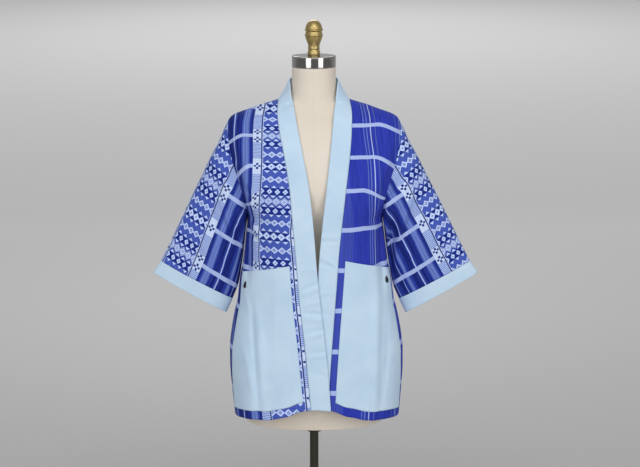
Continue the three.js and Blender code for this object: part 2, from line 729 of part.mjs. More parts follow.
const backGrid = levels(POCKET_TOP.left).map((level) => {
  const line = backLevel(level);
  return Array.from({ length: COLUMNS_BACK + 1 }, (_, i) => (
    line.at((line.length * i) / COLUMNS_BACK)
  ));
});
const backWall = panelWall(seamGap(backGrid, 1), backOutward);
add(jacket, 'back', wallBetween(backWall.outer, backWall.inner), wovenCloth);

// A sleeve is one flattened tube. Its first ring is the armhole, and it narrows
// in depth towards the cuff. Turn 0 is the upper fold, a half turn the underarm.
const sleeveCurve = {
  topX: through(SLEEVE_TOP, 'share', 'x'),
  topZ: through(SLEEVE_TOP, 'share', 'z'),
  underX: through(SLEEVE_UNDER, 'share', 'x'),
  underZ: through(SLEEVE_UNDER, 'share', 'z'),
  depth: through(SLEEVE_UNDER, 'share', 'depth'),
};

function sleevePoint(side, share, turn) {
  const face = turn <= 0.5 ? -1 : 1;
  const angle = turn * 2 * Math.PI;
  const down = (1 - Math.cos(angle)) / 2;
  const chordX = lerp(sleeveCurve.topX(share), sleeveCurve.underX(share), down);
  const z = lerp(sleeveCurve.topZ(share), sleeveCurve.underZ(share), down);
  const round = Math.abs(Math.sin(angle)) ** SLEEVE_FULLNESS;
  const x = side * chordX;
  const depth = round * (sleeveCurve.depth(share) + foldHeight(x, z, face));
  const point = new THREE.Vector3(x + sway(z), face * depth, z);
  const holeZ = armholeZ(turn);
  const hole = bodyPoint(side * armholeX(holeZ), holeZ, face);
  const holeChord = lerp(sleeveCurve.topX(0), sleeveCurve.underX(0), down);
  const holeBow = Math.abs(hole.x - sway(holeZ)) - holeChord;
  const free = smoothstep(share, 0, SLEEVE_BLEND);
  point.x += side * (holeBow * (1 - free) + UNDERARM_CLEAR * smoothstep(down, 0.85, 1));
  point.y = lerp(hole.y, point.y, free);
  return point;
}

function sleeveGrid(side, from, to, rings) {
  return Array.from({ length: rings + 1 }, (_, j) => (
    Array.from({ length: SLEEVE_SIDES }, (__, i) => (
      sleevePoint(side, lerp(from, to, j / rings), i / SLEEVE_SIDES)
    ))
  ));
}

// A tube's wall goes to the inside of its rings.
function tubeWall(grid, thickness, side) {
  const normals = gridNormals(grid, true);
  const row = Math.floor(grid.length / 2);
  const middle = grid[row].reduce((sum, point) => sum.add(point), new THREE.Vector3());
  middle.divideScalar(grid[row].length);
  const inwards = grid[row][0].clone().sub(middle).dot(normals[row][0]) < 0;
  if (inwards) normals.flat().forEach((normal) => normal.negate());
  if (side) armholeRing(normals[0], side);
  return moved(grid, normals, -thickness);
}

// Over the shoulder the armhole ring takes the body's direction, so that both
// walls meet square. Towards the armpit it turns to the sleeve's own.
function armholeRing(ring, side) {
  ring.forEach((normal, i) => {
    const turn = i / SLEEVE_SIDES;
    const z = Math.min(armholeZ(turn), SHOULDER_TIP.z - 1);
    const down = (SHOULDER_TIP.z - z) / (SHOULDER_TIP.z - ARMPIT_Z);
    const body = bodyNormal(side * armholeX(z), z, turn <= 0.5 ? -1 : 1);
    if (i === 0) body.y = 0;
    normal.lerp(body, 1 - smoothstep(down, 0.55, 0.95)).normalize();
  });
}

for (const [name, side] of [['right', -1], ['left', 1]]) {
  const sleeve = sleeveGrid(side, SLEEVE_START, CUFF_START, SLEEVE_RINGS);
  const sleeveInner = tubeWall(sleeve, CLOTH_WALL, side);
  add(jacket, `sleeve_${name}`, wallBetween(sleeve, sleeveInner, true), wovenCloth);
  const cuff = sleeveGrid(side, CUFF_START + CUFF_GAP, 1, CUFF_RINGS);
  add(jacket, `cuff_${name}`, wallBetween(cuff, tubeWall(cuff, CLOTH_WALL), true), plainCotton);
}

// The neckband is one folded strip: up the right front, round the neck, and
// down the left front. Each station runs from the seam to the free edge.
function frontStation(side, level) {
  const line = bandLines[side];
  return [0, 0.5, 1].map((share) => {
    let x = 0;
    for (let step = 0; step < SOLVE_STEPS; step += 1) {
      const z = levelZ(x, level, -1);
      x = lerp(line.seam(z) - SEAM_GAP, line.edge(z), share);
    }
    const z = levelZ(x, level, -1);
    return bodyPoint(side * x, z, -1, lapLift(side * x, z, side) + BAND_PROUD);
  });
}

function collarStation(side, row) {
  const onFront = row.seamZ !== undefined;
  const x = onFront ? bandLines[side].seam(row.seamZ) : row.seamX;
  const z = onFront ? row.seamZ : levelZ(x, 0, 1);
  const seam = bodyPoint(side * x, z, onFront ? -1 : 1);
  const edge = new THREE.Vector3(side * row.edgeX, row.edgeY, row.edgeZ);
  seam.z += BAND_PROUD;
  seam.lerp(edge, COLLAR_SETBACK);
  return [seam, new THREE.Vector3().lerpVectors(seam, edge, 0.5), edge];
}

const bandLevels = Array.from({ length: BAND_STATIONS + 1 }, (_, i) => (
  lerp(BAND_TOP_LEVEL, 1, (1 - i / BAND_STATIONS) ** BAND_CROWDING)
));
const [rightHalf, leftHalf] = [-1, 1].map((side) => [
  ...bandLevels.map((level) => frontStation(side, level)),
  ...[...COLLAR_FRONT, ...COLLAR_BACK].map((row) => collarStation(side, row)),
]);
const bandGrid = [...rightHalf, collarStation(1, NAPE), ...leftHalf.reverse()];
const bandNormals = gridNormals(bandGrid, false);
if (bandNormals[0][1].dot(frontOutward) < 0) bandNormals.flat().forEach((n) => n.negate());
const bandInner = moved(bandGrid, bandNormals, -BAND_WALL);
add(jacket, 'neckband', wallBetween(bandGrid, bandInner), plainCotton);

// ---------- dress form and stand ----------

const form = new THREE.Group();

function formRing(row) {
  return Array.from({ length: FORM_SIDES }, (_, i) => {
    const angle = (i / FORM_SIDES) * 2 * Math.PI;
    const c = Math.cos(angle);
    const s = Math.sin(angle);
    const x = row.half * Math.sign(c) * Math.abs(c) ** (2 / row.power);
    const depth = s < 0 ? row.front : row.back;
    const y = depth * Math.sign(s) * Math.abs(s) ** (2 / row.power);
    return new THREE.Vector3(x, y, row.z);
  });
}
add(form, 'form_torso', stack(FORM_SECTIONS.map(formRing)), linen);

add(form, 'neck_cap', turned([
  { z: CAP.bottom, radius: NECK_RADIUS + CAP.proud },
  { z: CAP.top - CAP.lip, radius: NECK_RADIUS + CAP.proud },
  { z: CAP.top, radius: NECK_RADIUS - CAP.lip },
], TURNED_SIDES.cap), chrome);

const finialProfile = FINIAL_PROFILE.map((row) => (
  { z: FINIAL_BASE + SEAM_GAP + row.up, radius: row.radius }
));
add(form, 'finial', turned(finialProfile, TURNED_SIDES.finial), gildedMetal);

const socketTop = FORM_BOTTOM - SEAM_GAP;
const socketBottom = socketTop - SOCKET.height;
add(form, 'stand_socket', turned([
  { z: socketBottom, radius: SOCKET.radius },
  { z: socketTop - SOCKET.flangeHeight - SOCKET.chamfer, radius: SOCKET.radius },
  { z: socketTop - SOCKET.flangeHeight, radius: SOCKET.flange },
  { z: socketTop, radius: SOCKET.flange },
], TURNED_SIDES.socket), bronzeMetal);

add(form, 'stand_pole', turned([
  { z: BOSS.top + SEAM_GAP, radius: POLE_RADIUS },
  { z: socketBottom - SEAM_GAP, radius: POLE_RADIUS },
], TURNED_SIDES.pole), bronzeMetal);

add(form, 'stand_base', turned([
  { z: 0, radius: BASE.radius },
  { z: BASE.rim, radius: BASE.radius },
  { z: BASE.rim + BASE.bevelRise, radius: BASE.radius - BASE.bevelRun },
  { z: BASE.height, radius: BASE.foot },
  { z: BASE.height + BASE.neckRise, radius: BASE.neck },
  { z: BOSS.top, radius: BOSS.radius },
], TURNED_SIDES.base), bronzeMetal);

const part = new THREE.Group();
part.add(form, jacket);

export default part;
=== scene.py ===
import math

import bpy
import numpy as np
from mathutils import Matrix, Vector


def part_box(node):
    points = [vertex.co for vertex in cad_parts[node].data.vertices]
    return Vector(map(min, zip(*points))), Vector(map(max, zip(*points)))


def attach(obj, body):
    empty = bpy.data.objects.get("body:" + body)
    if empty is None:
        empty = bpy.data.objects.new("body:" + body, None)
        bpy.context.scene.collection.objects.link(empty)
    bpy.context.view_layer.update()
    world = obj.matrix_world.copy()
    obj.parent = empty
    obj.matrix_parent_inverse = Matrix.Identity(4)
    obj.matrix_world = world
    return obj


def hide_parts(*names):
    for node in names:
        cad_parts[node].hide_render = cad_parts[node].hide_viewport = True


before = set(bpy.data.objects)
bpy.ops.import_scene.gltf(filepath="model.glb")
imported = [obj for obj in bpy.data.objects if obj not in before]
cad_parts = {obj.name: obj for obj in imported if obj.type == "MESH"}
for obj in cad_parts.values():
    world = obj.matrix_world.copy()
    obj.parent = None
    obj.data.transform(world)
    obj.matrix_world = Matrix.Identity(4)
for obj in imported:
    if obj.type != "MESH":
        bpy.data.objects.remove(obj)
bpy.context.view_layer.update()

# ---------- Stand base ----------
# A round cast-iron plate with a sloped top and a short boss that holds the pole.
# It is sprayed in dark bronze paint, which is smooth with a faint orange peel.

MM = 0.001


def linear(colour):
    """The linear colour of an sRGB hex value."""
    parts = [int(colour[i:i + 2], 16) / 255 for i in (1, 3, 5)]
    return [p / 12.92 if p <= 0.04045 else ((p + 0.055) / 1.055) ** 2.4 for p in parts] + [1]


def result(node):
    """A node's first output, or the colour of a Mix node, which is its third."""
    return node.outputs[2 if node.bl_idname == "ShaderNodeMix" else 0]


def add(tree, kind, *inputs, named=None, stops=(), stepped=False, to=None, **settings):
    """Adds a node with its settings and links. An input is a value, a node or a node's socket.
    A colour ramp takes its (position, colour) stops, blended or stepped. What is made feeds
    the shader's socket called to."""
    made = tree.nodes.new("ShaderNode" + kind)
    for key, value in settings.items():
        setattr(made, key, value)
    for slot, value in [*enumerate(inputs), *(named or {}).items()]:
        if isinstance(value, bpy.types.Node):
            value = result(value)
        if isinstance(value, bpy.types.NodeSocket):
            tree.links.new(value, made.inputs[slot])
        elif value is not None:
            made.inputs[slot].default_value = value
    if stops:
        ramp = made.color_ramp
        ramp.interpolation = "CONSTANT" if stepped else "LINEAR"
        while len(ramp.elements) < len(stops):
            ramp.elements.new(1.0)
        for element, (position, colour) in zip(ramp.elements, stops):
            element.position, element.color = position, linear(colour)
    if to:
        tree.links.new(result(made), tree.nodes["Principled BSDF"].inputs[to])
    return made


def new_finish(name, **sockets):
    """A material and its node tree. The shader's plain sockets are set by name."""
    material = bpy.data.materials.new(name)
    material.use_nodes = True
    shader = material.node_tree.nodes["Principled BSDF"]
    for key, value in sockets.items():
        shader.inputs[key.replace("_", " ")].default_value = value
    return material, material.node_tree


def make_piece(name, points, faces, material, takes, *nodes):
    """A smooth mesh from points in millimetres that stands for CAD nodes on the one body."""
    mesh = bpy.data.meshes.new(name)
    mesh.from_pydata((np.asarray(points, float).reshape(-1, 3) * MM).tolist(), [], faces)
    mesh.materials.append(material)
    mesh.shade_smooth()
    piece = bpy.data.objects.new(name, mesh)
    bpy.context.scene.collection.objects.link(piece)
    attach(piece, "root")
    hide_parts(*nodes)
    return piece


def through(table, key, column):
    """A smooth curve through a table's column, with no overshoot between its rows."""
    at, value = table[key], table[column]
    slope = np.diff(value) / np.diff(at)
    left, right = slope[:-1], slope[1:]
    safe = np.where(left + right == 0, 1, left + right)
    inner = np.where(left * right <= 0, 0, 2 * left * right / safe)
    tangent = np.concatenate([slope[:1], inner, slope[-1:]])

    def read(x):
        t = np.clip(x, at[0], at[-1])
        i = np.clip(np.searchsorted(at, t, side="left") - 1, 0, len(at) - 2)
        width = at[i + 1] - at[i]
        s = (t - at[i]) / width
        rise = (value[i + 1] - value[i]) * s * s * (3 - 2 * s)
        return value[i] + rise + width * s * (1 - s) * (tangent[i] * (1 - s) - tangent[i + 1] * s)
    return read


def columns(names, *rows):
    """A table of rows as one array for each named column."""
    return {name: np.array(values, float) for name, values in zip(names.split(), zip(*rows))}


def turned(profile, sides):
    """Points and faces of a turned piece. Its (radius, height) pairs start and end on the axis."""
    angle = np.linspace(0, 2 * np.pi, sides, endpoint=False)
    rings = [[(r * c, r * s, z) for c, s in zip(np.cos(angle), np.sin(angle))]
             for r, z in profile[1:-1]]
    points = [p for ring in rings for p in ring]
    points += [(0, 0, profile[0][1]), (0, 0, profile[-1][1])]
    faces = []
    for i in range(sides):
        k = (i + 1) % sides
        for j in range(len(rings) - 1):
            faces.append((j * sides + i, j * sides + k, (j + 1) * sides + k, (j + 1) * sides + i))
        top = (len(rings) - 1) * sides
        faces += [(k, i, len(points) - 2), (top + i, top + k, len(points) - 1)]
    return points, faces


def rounded(corners, radius, steps=5):
    """The same profile with a small arc at each corner between its ends."""
    line = [corners[0]]
    for before, corner, after in zip(corners, corners[1:], corners[2:]):
        before, corner, after = (np.array(p, float) for p in (before, corner, after))
        to_before, to_after = before - corner, after - corner
        length_before, length_after = np.linalg.norm(to_before), np.linalg.norm(to_after)
        reach = min(radius, 0.45 * length_before, 0.45 * length_after)
        start = corner + to_before / length_before * reach
        end = corner + to_after / length_after * reach
        for t in np.linspace(0, 1, steps):
            line.append(tuple((1 - t) ** 2 * start + 2 * t * (1 - t) * corner + t * t * end))
    return line + [corners[-1]]


bronze_paint, tree = new_finish(
    "dark_bronze_enamel_paint", Metallic=0.55, Roughness=0.34, Coat_Weight=0.35, Coat_Roughness=0.2)
place = add(tree, "TexCoord").outputs["Object"]
peel = add(tree, "TexNoise", place, named={"Scale": 420, "Detail": 2})
cloudy = add(tree, "TexNoise", place, named={"Scale": 9, "Detail": 3})
add(tree, "ValToRGB", cloudy, stops=[(0.35, "#2e2b27"), (0.7, "#3d3934")], to="Base Color")
add(tree, "Bump", named={"Strength": 0.12, "Distance": 0.0004, "Height": peel}, to="Normal")

BASE = [(0, 0), (192, 0), (192, 9), (185, 14), (36, 26), (22, 32), (15, 62), (0, 62)]
make_piece("base_plate", *turned(rounded(BASE, 4), 128), bronze_paint, "stand_metal", "stand_base")

# ---------- Pole and socket ----------
# A drawn steel tube, blackened and polished, so it shows long thin highlights.
# It screws into a flanged socket under the torso.

black_steel, tree = new_finish("blackened_drawn_steel", Metallic=0.9, Roughness=0.24)
place = add(tree, "TexCoord").outputs["Object"]
drawn = add(tree, "Mapping", place, named={"Scale": (900, 900, 4)})
lines = add(tree, "TexNoise", drawn, named={"Scale": 1, "Detail": 2})
add(tree, "ValToRGB", lines, stops=[(0, "#2b2b27"), (1, "#5a594f")], to="Base Color")
add(tree, "Bump", named={"Strength": 0.1, "Distance": 0.0002, "Height": lines}, to="Normal")

POLE = [(0, 62.3), (11, 62.3), (11, 521.4), (0, 521.4)]
make_piece("pole", *turned(rounded(POLE, 1), 48), black_steel, "stand_metal", "stand_pole")
SOCKET = [(0, 521.7), (19, 521.7), (19, 549), (42, 551.7), (42, 555.7), (0, 555.7)]
make_piece(
    "pole_socket", *turned(rounded(SOCKET, 1.5), 64), black_steel, "stand_metal", "stand_socket")

# ---------- Torso ----------
# The dress form: a padded shell covered in fine cream linen, seamed down the
# front, back and sides. It has a straight neck and a flat underside.

# At each height: half the width, the depth in front and behind, and the power of the
# rounded outline, where 2 is an ellipse and more is squarer.
TORSO = columns(
    "z half front back power",
    (556, 172, 106, 104, 2.2), (600, 175, 109, 108, 2.2), (700, 177, 112, 116, 2.25),
    (790, 175, 112, 118, 2.3), (870, 163, 106, 108, 2.3), (950, 140, 96, 96, 2.2),
    (1005, 124, 90, 88, 2.15), (1060, 130, 98, 92, 2.15), (1110, 140, 112, 98, 2.2),
    (1150, 147, 118, 102, 2.2), (1200, 158, 110, 103, 2.15), (1250, 176, 96, 98, 2.1),
    (1285, 186, 84, 90, 2.1), (1303, 188, 77, 84, 2), (1310.5, 186, 73, 80, 1.9),
    (1316.5, 182, 71, 77, 1.8), (1323.5, 174, 69, 75, 1.7), (1331.8, 154, 66.5, 71, 1.65),
    (1340.8, 130, 64, 68, 1.6), (1347.8, 106, 61.5, 65, 1.6), (1353.8, 86, 59, 62, 1.6),
    (1360, 71, 57.5, 59, 1.7), (1370, 61, 56, 56.5, 1.85), (1384, 55, 54.5, 55, 2),
    (1405, 52.8, 53, 53, 2), (1435.7, 52.5, 52.5, 52.5, 2))


def closed_stack(rings):
    """Faces of a stack of equal rings of points, with a fan over each end."""
    rows, sides = rings.shape[:2]
    j, i = np.meshgrid(np.arange(rows - 1), np.arange(sides), indexing="ij")
    k = (i + 1) % sides
    quads = np.stack([j * sides + i, j * sides + k, (j + 1) * sides + k, (j + 1) * sides + i], -1)
    points = np.concatenate([rings.reshape(-1, 3), [rings[0].mean(0)], [rings[-1].mean(0)]])
    count, top = rows * sides, (rows - 1) * sides
    fans = [((i + 1) % sides, i, count) for i in range(sides)]
    fans += [(top + i, top + (i + 1) % sides, count + 1) for i in range(sides)]
    return points, quads.reshape(-1, 4).tolist() + fans


heights = np.concatenate([
    np.linspace(558, 1290, 110), np.linspace(1292, 1375, 72), np.linspace(1379, 1435.7, 14)])
turn = np.linspace(0, 2 * np.pi, 160, endpoint=False)
cosine, sine = np.cos(turn), np.sin(turn)


def padded_size(key, z):
    """A size of the torso at a height, rounded over by its padding."""
    return float(through(TORSO, "z", key)(z + np.linspace(-9, 9, 7)).mean())


def torso_ring(z, inset=0.0):
    """The torso's outline at a height: a rounded shape, deeper or flatter in front than behind."""
    half = padded_size("half", z) - inset
    depth = np.where(sine < 0, padded_size("front", z), padded_size("back", z)) - inset
    power = 2 / padded_size("power", z)
    x = half * np.sign(cosine) * np.abs(cosine) ** power
    y = depth * np.sign(sine) * np.abs(sine) ** power
    return np.stack([x, y, np.full_like(x, z)], -1)


hem_ring = [torso_ring(556, 5), torso_ring(556, 2.5), torso_ring(556.6, 1)]
rings = np.stack([*hem_ring, *(torso_ring(z) for z in heights)])

linen, tree = new_finish(
    "cream_linen_cover", Roughness=0.86, Sheen_Weight=0.12, Sheen_Roughness=0.5)
place = add(tree, "TexCoord").outputs["Object"]
# Linen threads lie 0.8 mm apart. Their slubs are drawn longer so that they show.
slub = add(tree, "TexNoise", add(tree, "Mapping", place, named={"Scale": (60, 60, 700)}),
           named={"Scale": 1, "Detail": 3})
fine = add(tree, "TexNoise", place, named={"Scale": 900, "Detail": 1})
cloudy = add(tree, "TexNoise", place, named={"Scale": 5, "Detail": 4})
fine = add(tree, "Math", fine, 0.6, operation="MULTIPLY")
weave = add(tree, "Math", slub, fine, operation="ADD")
tint = add(tree, "ValToRGB", cloudy, stops=[(0.3, "#ddd1c1"), (0.75, "#e8dfd2")])
thread = add(tree, "MapRange", weave, 0.55, 1.1, 0.955, 1.0)
colour = add(tree, "Mix", data_type="RGBA", blend_type="MULTIPLY",
             named={0: 1.0, 6: tint, 7: thread})
# The seams: the middle of the front and back, and both sides.
split = add(tree, "SeparateXYZ", place)
seam_x = add(tree, "Math", split.outputs[0], operation="ABSOLUTE")
seam_y = add(tree, "Math", split.outputs[1], operation="ABSOLUTE")
seam = add(tree, "Math", seam_x, seam_y, operation="MINIMUM")
groove = add(tree, "MapRange", seam, 0.0, 0.0012, 1.0, 0.0)
shaded = add(tree, "Math", groove, 0.16, operation="MULTIPLY")
add(tree, "Mix", data_type="RGBA", to="Base Color",
    named={0: shaded, 6: colour, 7: linear("#a3967f")})
sunk = add(tree, "Math", groove, 3.0, operation="MULTIPLY")
height = add(tree, "Math", weave, sunk, operation="SUBTRACT")
add(tree, "Bump", named={"Strength": 0.2, "Distance": 0.0003, "Height": height}, to="Normal")

make_piece("torso", *closed_stack(rings), linen, "form_linen", "form_torso")

# ---------- Neck cap ----------
# A shallow pressed-steel cap that closes the neck. It is chromium plated and
# polished, so it mirrors the room, with a faint smear from handling.

chrome_plate, tree = new_finish(
    "polished_chrome_plate", Base_Color=linear("#a8a6a3"), Metallic=1.0, Roughness=0.06)
place = add(tree, "TexCoord").outputs["Object"]
smear = add(tree, "TexNoise", place, named={"Scale": 60, "Detail": 3})
add(tree, "MapRange", smear, 0.0, 1.0, 0.04, 0.13, to="Roughness")
CAP = [(0, 1436), (53.1, 1436), (53.1, 1461.5), (51.4, 1463), (0, 1463)]
make_piece("neck_cap_band", *turned(rounded(CAP, 1.2), 128), chrome_plate, "cap_metal", "neck_cap")

# ---------- Finial ----------
# A turned knob with two beads and a flared foot, screwed to the cap. It is brass
# with a satin lacquer, so its highlights are soft and faint turning lines show.

# The turned outline, up from the knob's foot.
KNOB = columns(
    "up radius",
    (0, 14.6), (2.5, 15), (5, 15.4), (8, 14.9), (11, 14.2), (12.6, 13.3), (14, 13.2), (15.4, 13.9),
    (17, 14.2), (19, 13.8), (22, 13.6), (26, 14.3), (31, 16.2), (37, 18.5), (42, 20), (45, 20.5),
    (46.5, 21.8), (48.5, 22), (50, 20.7), (53, 20.2), (55.5, 19.5), (57, 19.1), (58.5, 20.6),
    (60.5, 22.2), (62.2, 21.6), (63.6, 20.1), (68, 19.4), (72, 18), (76, 15.8), (79.5, 12.9),
    (82.3, 8.6), (83.6, 4.6))
KNOB_FOOT, KNOB_TOP = 1463.3, 1547.3
steps = np.concatenate([np.linspace(0, 63, 90), np.linspace(64, 83.6, 22)])
radii = through(KNOB, "up", "radius")(steps)
profile = [(float(radius), KNOB_FOOT + up) for up, radius in zip(steps, radii)]
profile = [(0, KNOB_FOOT), *profile, (0, KNOB_TOP)]
satin_brass, tree = new_finish(
    "satin_lacquered_brass", Metallic=1.0, Roughness=0.42, Coat_Weight=0.2, Coat_Roughness=0.25)
place = add(tree, "TexCoord").outputs["Object"]
aged = add(tree, "TexNoise", place, named={"Scale": 22, "Detail": 3})
add(tree, "ValToRGB", aged, stops=[(0.3, "#b59f66"), (0.75, "#c9b47e")], to="Base Color")
lathe = add(tree, "TexNoise", add(tree, "Mapping", place, named={"Scale": (40, 40, 2600)}),
            named={"Scale": 1, "Detail": 1})
add(tree, "Bump", named={"Strength": 0.15, "Distance": 0.0002, "Height": lathe}, to="Normal")
make_piece("turned_knob", *turned(profile, 72), satin_brass, "finial_metal", "finial")

# ---------- Jacket back and fronts ----------
# Three panels of handwoven cotton, cut straight and sewn at the shoulders and
# sides. The wearer's right front laps over the left one. The panels hang free.

# The body's outline at each height, in the torso's terms.
CLOTH = columns(
    "z half front back power",
    (575, 204, 150, 143, 2.9), (632, 209, 146, 141, 2.9), (666, 212, 144, 139, 2.9),
    (705, 214, 142, 136, 2.9), (744, 214, 140, 133, 2.9), (782, 210, 138, 129, 2.8),
    (841, 199, 136, 124, 2.7), (864, 193, 135, 122, 2.65), (917, 186.2, 134, 119, 2.5),
    (965, 177.3, 133, 117, 2.45), (1024, 169.8, 132, 115, 2.35), (1076, 165, 131.5, 114, 2.3),
    (1090, 173, 131, 114, 2.3), (1110, 184, 130, 114, 2.25), (1140, 198, 127, 114, 2.2),
    (1178, 214, 120, 113, 2.15), (1210, 221, 112, 110, 2.1), (1250, 221, 100, 104, 2.1),
    (1285, 215, 88, 95, 2.1), (1306, 207, 81, 88, 2.05), (1320, 195, 76, 83, 1.9),
    (1328, 177, 73, 79, 1.75), (1336, 154, 70, 75, 1.65), (1345, 130, 67.5, 72, 1.6),
    (1352, 106, 65, 69, 1.6), (1358, 86, 62.5, 66, 1.6), (1366, 70, 60, 64, 1.7),
    (1376, 62, 58, 62, 1.85))
# The shoulder's slope, the hem in front and behind, and the edge of the armhole.
SHOULDER = columns(
    "x z", (0, 1386), (60, 1367), (86, 1358), (106, 1352), (130, 1345), (154, 1336), (177, 1328),
    (195, 1320), (202, 1314), (207, 1306))
HEM = columns(
    "x front back", (0, 624, 589), (40, 619, 588), (70, 606, 590), (90, 601, 592), (120, 593, 593),
    (150, 591, 591), (180, 588, 588), (207, 580, 580))
ARMHOLE = columns(
    "z x", (1076, 165), (1080, 164), (1090, 163.8), (1110, 166.5), (1140, 173), (1178, 184.5),
    (1210, 195), (1250, 204), (1285, 207), (1306, 207))
# The band's seam and its free edge on each front, out from the middle at each height.
BAND = {
    -1: columns(
        "z seam edge", (575, 9, -38), (622, 13.6, -34.4), (698, 20, -30), (797, 29, -21),
        (894, 39, -10.5), (979, 45, -3.2), (1052, 51, 1.6), (1158, 59, 12), (1226, 69.5, 24),
        (1281, 80, 35), (1312, 85, 41), (1335, 87, 45), (1358, 86, 50)),
    1: columns(
        "z seam edge", (575, 24, -25), (622, 27.5, -21.5), (722, 34.5, -15.5), (821, 42.5, -7.5),
        (936, 52, 5.5), (1005, 57.5, 11), (1088, 67, 20), (1170, 77, 30), (1237, 85.5, 38),
        (1292, 90, 44), (1325, 91, 47), (1340, 90, 49), (1358, 86, 52))}

# Each fold or crease runs from one point to another on the front or the back,
# with its half width and height. The first rows are those of the CAD solids.
FOLDS = columns(
    "face x0 z0 x1 z1 width height",
    (-1, -203, 1268, -165, 1095, 13, -8), (-1, -188, 1285, -146, 1120, 15, 5),
    (-1, -226, 1238, -186, 1060, 14, 7), (-1, -246, 1190, -200, 1010, 15, -5),
    (-1, 204, 1262, 168, 1100, 12, -7), (-1, 190, 1282, 152, 1130, 16, 4),
    (-1, 230, 1232, 190, 1050, 15, 6), (-1, 262, 1180, 214, 985, 17, -4),
    (-1, -152, 800, -168, 585, 24, 5), (-1, -122, 720, -128, 585, 18, -4),
    (-1, 148, 930, 152, 585, 22, 4), (-1, 104, 700, 98, 590, 22, -3),
    (1, -204, 1262, -160, 1110, 13, -7), (1, -180, 1280, -128, 1080, 18, 5),
    (1, -228, 1232, -188, 1050, 15, 6), (1, 203, 1266, 164, 1100, 13, -8),
    (1, 184, 1282, 136, 1060, 17, 6), (1, 232, 1226, 192, 1040, 15, 5),
    (1, -96, 1000, -112, 585, 30, 6), (1, -30, 940, -36, 585, 34, -5), (1, 52, 980, 60, 585, 32, 6),
    (1, 132, 900, 140, 585, 26, -4), (-1, -198, 1204, -162, 1060, 8, -12),
    (-1, 206, 1204, 168, 1056, 8, -12), (-1, 187, 1080, 184, 950, 8, -26),
    (-1, -184, 1180, -146, 1104, 6, 5), (-1, 190, 1170, 152, 1100, 6, 4),
    (-1, -214, 1196, -150, 1070, 7, -8), (-1, -206, 1160, -132, 1030, 7, 6),
    (-1, -200, 1226, -140, 1130, 6, 4), (-1, -172, 1066, -112, 1000, 8, -4),
    (-1, -238, 1156, -200, 1030, 7, 6), (-1, -254, 1124, -212, 930, 8, -6),
    (-1, -300, 1090, -236, 905, 9, 2.6), (-1, -268, 1010, -226, 896, 5, -2.4),
    (-1, -318, 1040, -270, 900, 8, -2.2), (-1, -222, 1084, -200, 990, 4, -2.6),
    (-1, -262, 1196, -232, 1150, 5, -2.2), (-1, -152, 890, -142, 600, 7, -3.6),
    (-1, -138, 860, -124, 590, 10, 5.2), (-1, -92, 950, -100, 770, 11, 1.4),
    (-1, -196, 1120, -186, 985, 8, -9), (-1, -212, 1020, -204, 890, 7, -6),
    (-1, 198, 1120, 190, 985, 9, -11), (-1, 216, 1020, 208, 890, 8, -7),
    (-1, -60, 700, -76, 596, 7, -1.4), (-1, -178, 940, -158, 850, 5, 1.6),
    (-1, 216, 1190, 150, 1072, 7, -8), (-1, 208, 1150, 142, 1040, 7, 6),
    (-1, 190, 1224, 146, 1160, 6, 1.8), (-1, 168, 1066, 118, 1016, 7, -1.6),
    (-1, 240, 1150, 204, 1026, 7, 6), (-1, 258, 1114, 218, 926, 8, -6),
    (-1, 306, 1080, 240, 905, 9, 2.4), (-1, 276, 1000, 232, 896, 5, -2.2),
    (-1, 328, 1030, 280, 905, 8, -2), (-1, 226, 1076, 206, 985, 4, -2.4),
    (-1, 268, 1190, 240, 1146, 5, -2), (-1, 150, 950, 138, 590, 11, 5.4),
    (-1, 160, 900, 153, 606, 9, -3.6), (-1, 172, 860, 166, 700, 6, -2),
    (-1, 88, 940, 82, 800, 11, 1.3), (-1, 104, 700, 118, 600, 7, 1.6),
    (-1, 158, 1110, 160, 905, 10, -15), (-1, -160, 1100, -162, 930, 9, -13),
    (-1, -176, 780, -150, 640, 7, 2.4), (-1, -108, 690, -120, 600, 6, 1.6),
    (-1, 178, 800, 160, 640, 8, -2.2), (1, -210, 1176, -146, 1076, 6, -3),
    (1, -200, 1140, -132, 1036, 5, 2.4), (1, -160, 1290, -60, 1210, 14, -1.8),
    (1, -120, 1180, -40, 1130, 12, 1.6), (1, -246, 1130, -214, 950, 6, -2.8),
    (1, -306, 1070, -244, 906, 9, 2.4), (1, -270, 1000, -230, 900, 5, -2.2),
    (1, -150, 860, -160, 604, 8, 2.6), (1, -70, 800, -84, 600, 14, -2),
    (1, 8, 900, 2, 600, 16, 2.4), (1, 94, 820, 100, 600, 12, -2.2), (1, 166, 840, 168, 604, 7, 2),
    (1, 210, 1180, 148, 1080, 6, -3), (1, 202, 1142, 138, 1040, 5, 2.2),
    (1, 158, 1286, 70, 1214, 14, -1.6), (1, 110, 1176, 30, 1140, 12, 1.4),
    (1, 250, 1126, 220, 946, 6, -2.6), (1, 312, 1066, 250, 906, 9, 2.4))

# The cloth's slight unevenness: its height, and its shortest and longest waves.
UNEVEN_HIGH, SHORTEST, LONGEST = 0.34, 34, 150


def uneven(x, z, seed, waves=26):
    """A slight seeded unevenness of the cloth, in millimetres."""
    random = np.random.RandomState(seed)
    height = np.zeros(np.broadcast(x, z).shape)
    for _ in range(waves):
        turn, length = random.uniform(0, np.pi), random.uniform(SHORTEST, LONGEST)
        across = x * math.cos(turn) + z * math.sin(turn) * 0.6
        phase = 2 * np.pi * across / length + random.uniform(0, 2 * np.pi)
        height += length / LONGEST * np.sin(phase)
    return UNEVEN_HIGH * height / math.sqrt(waves / 4)


def ease(x, start, end):
    """A smooth step from 0 at start to 1 at end."""
    t = np.clip((x - start) / (end - start), 0, 1)
    return t * t * (3 - 2 * t)


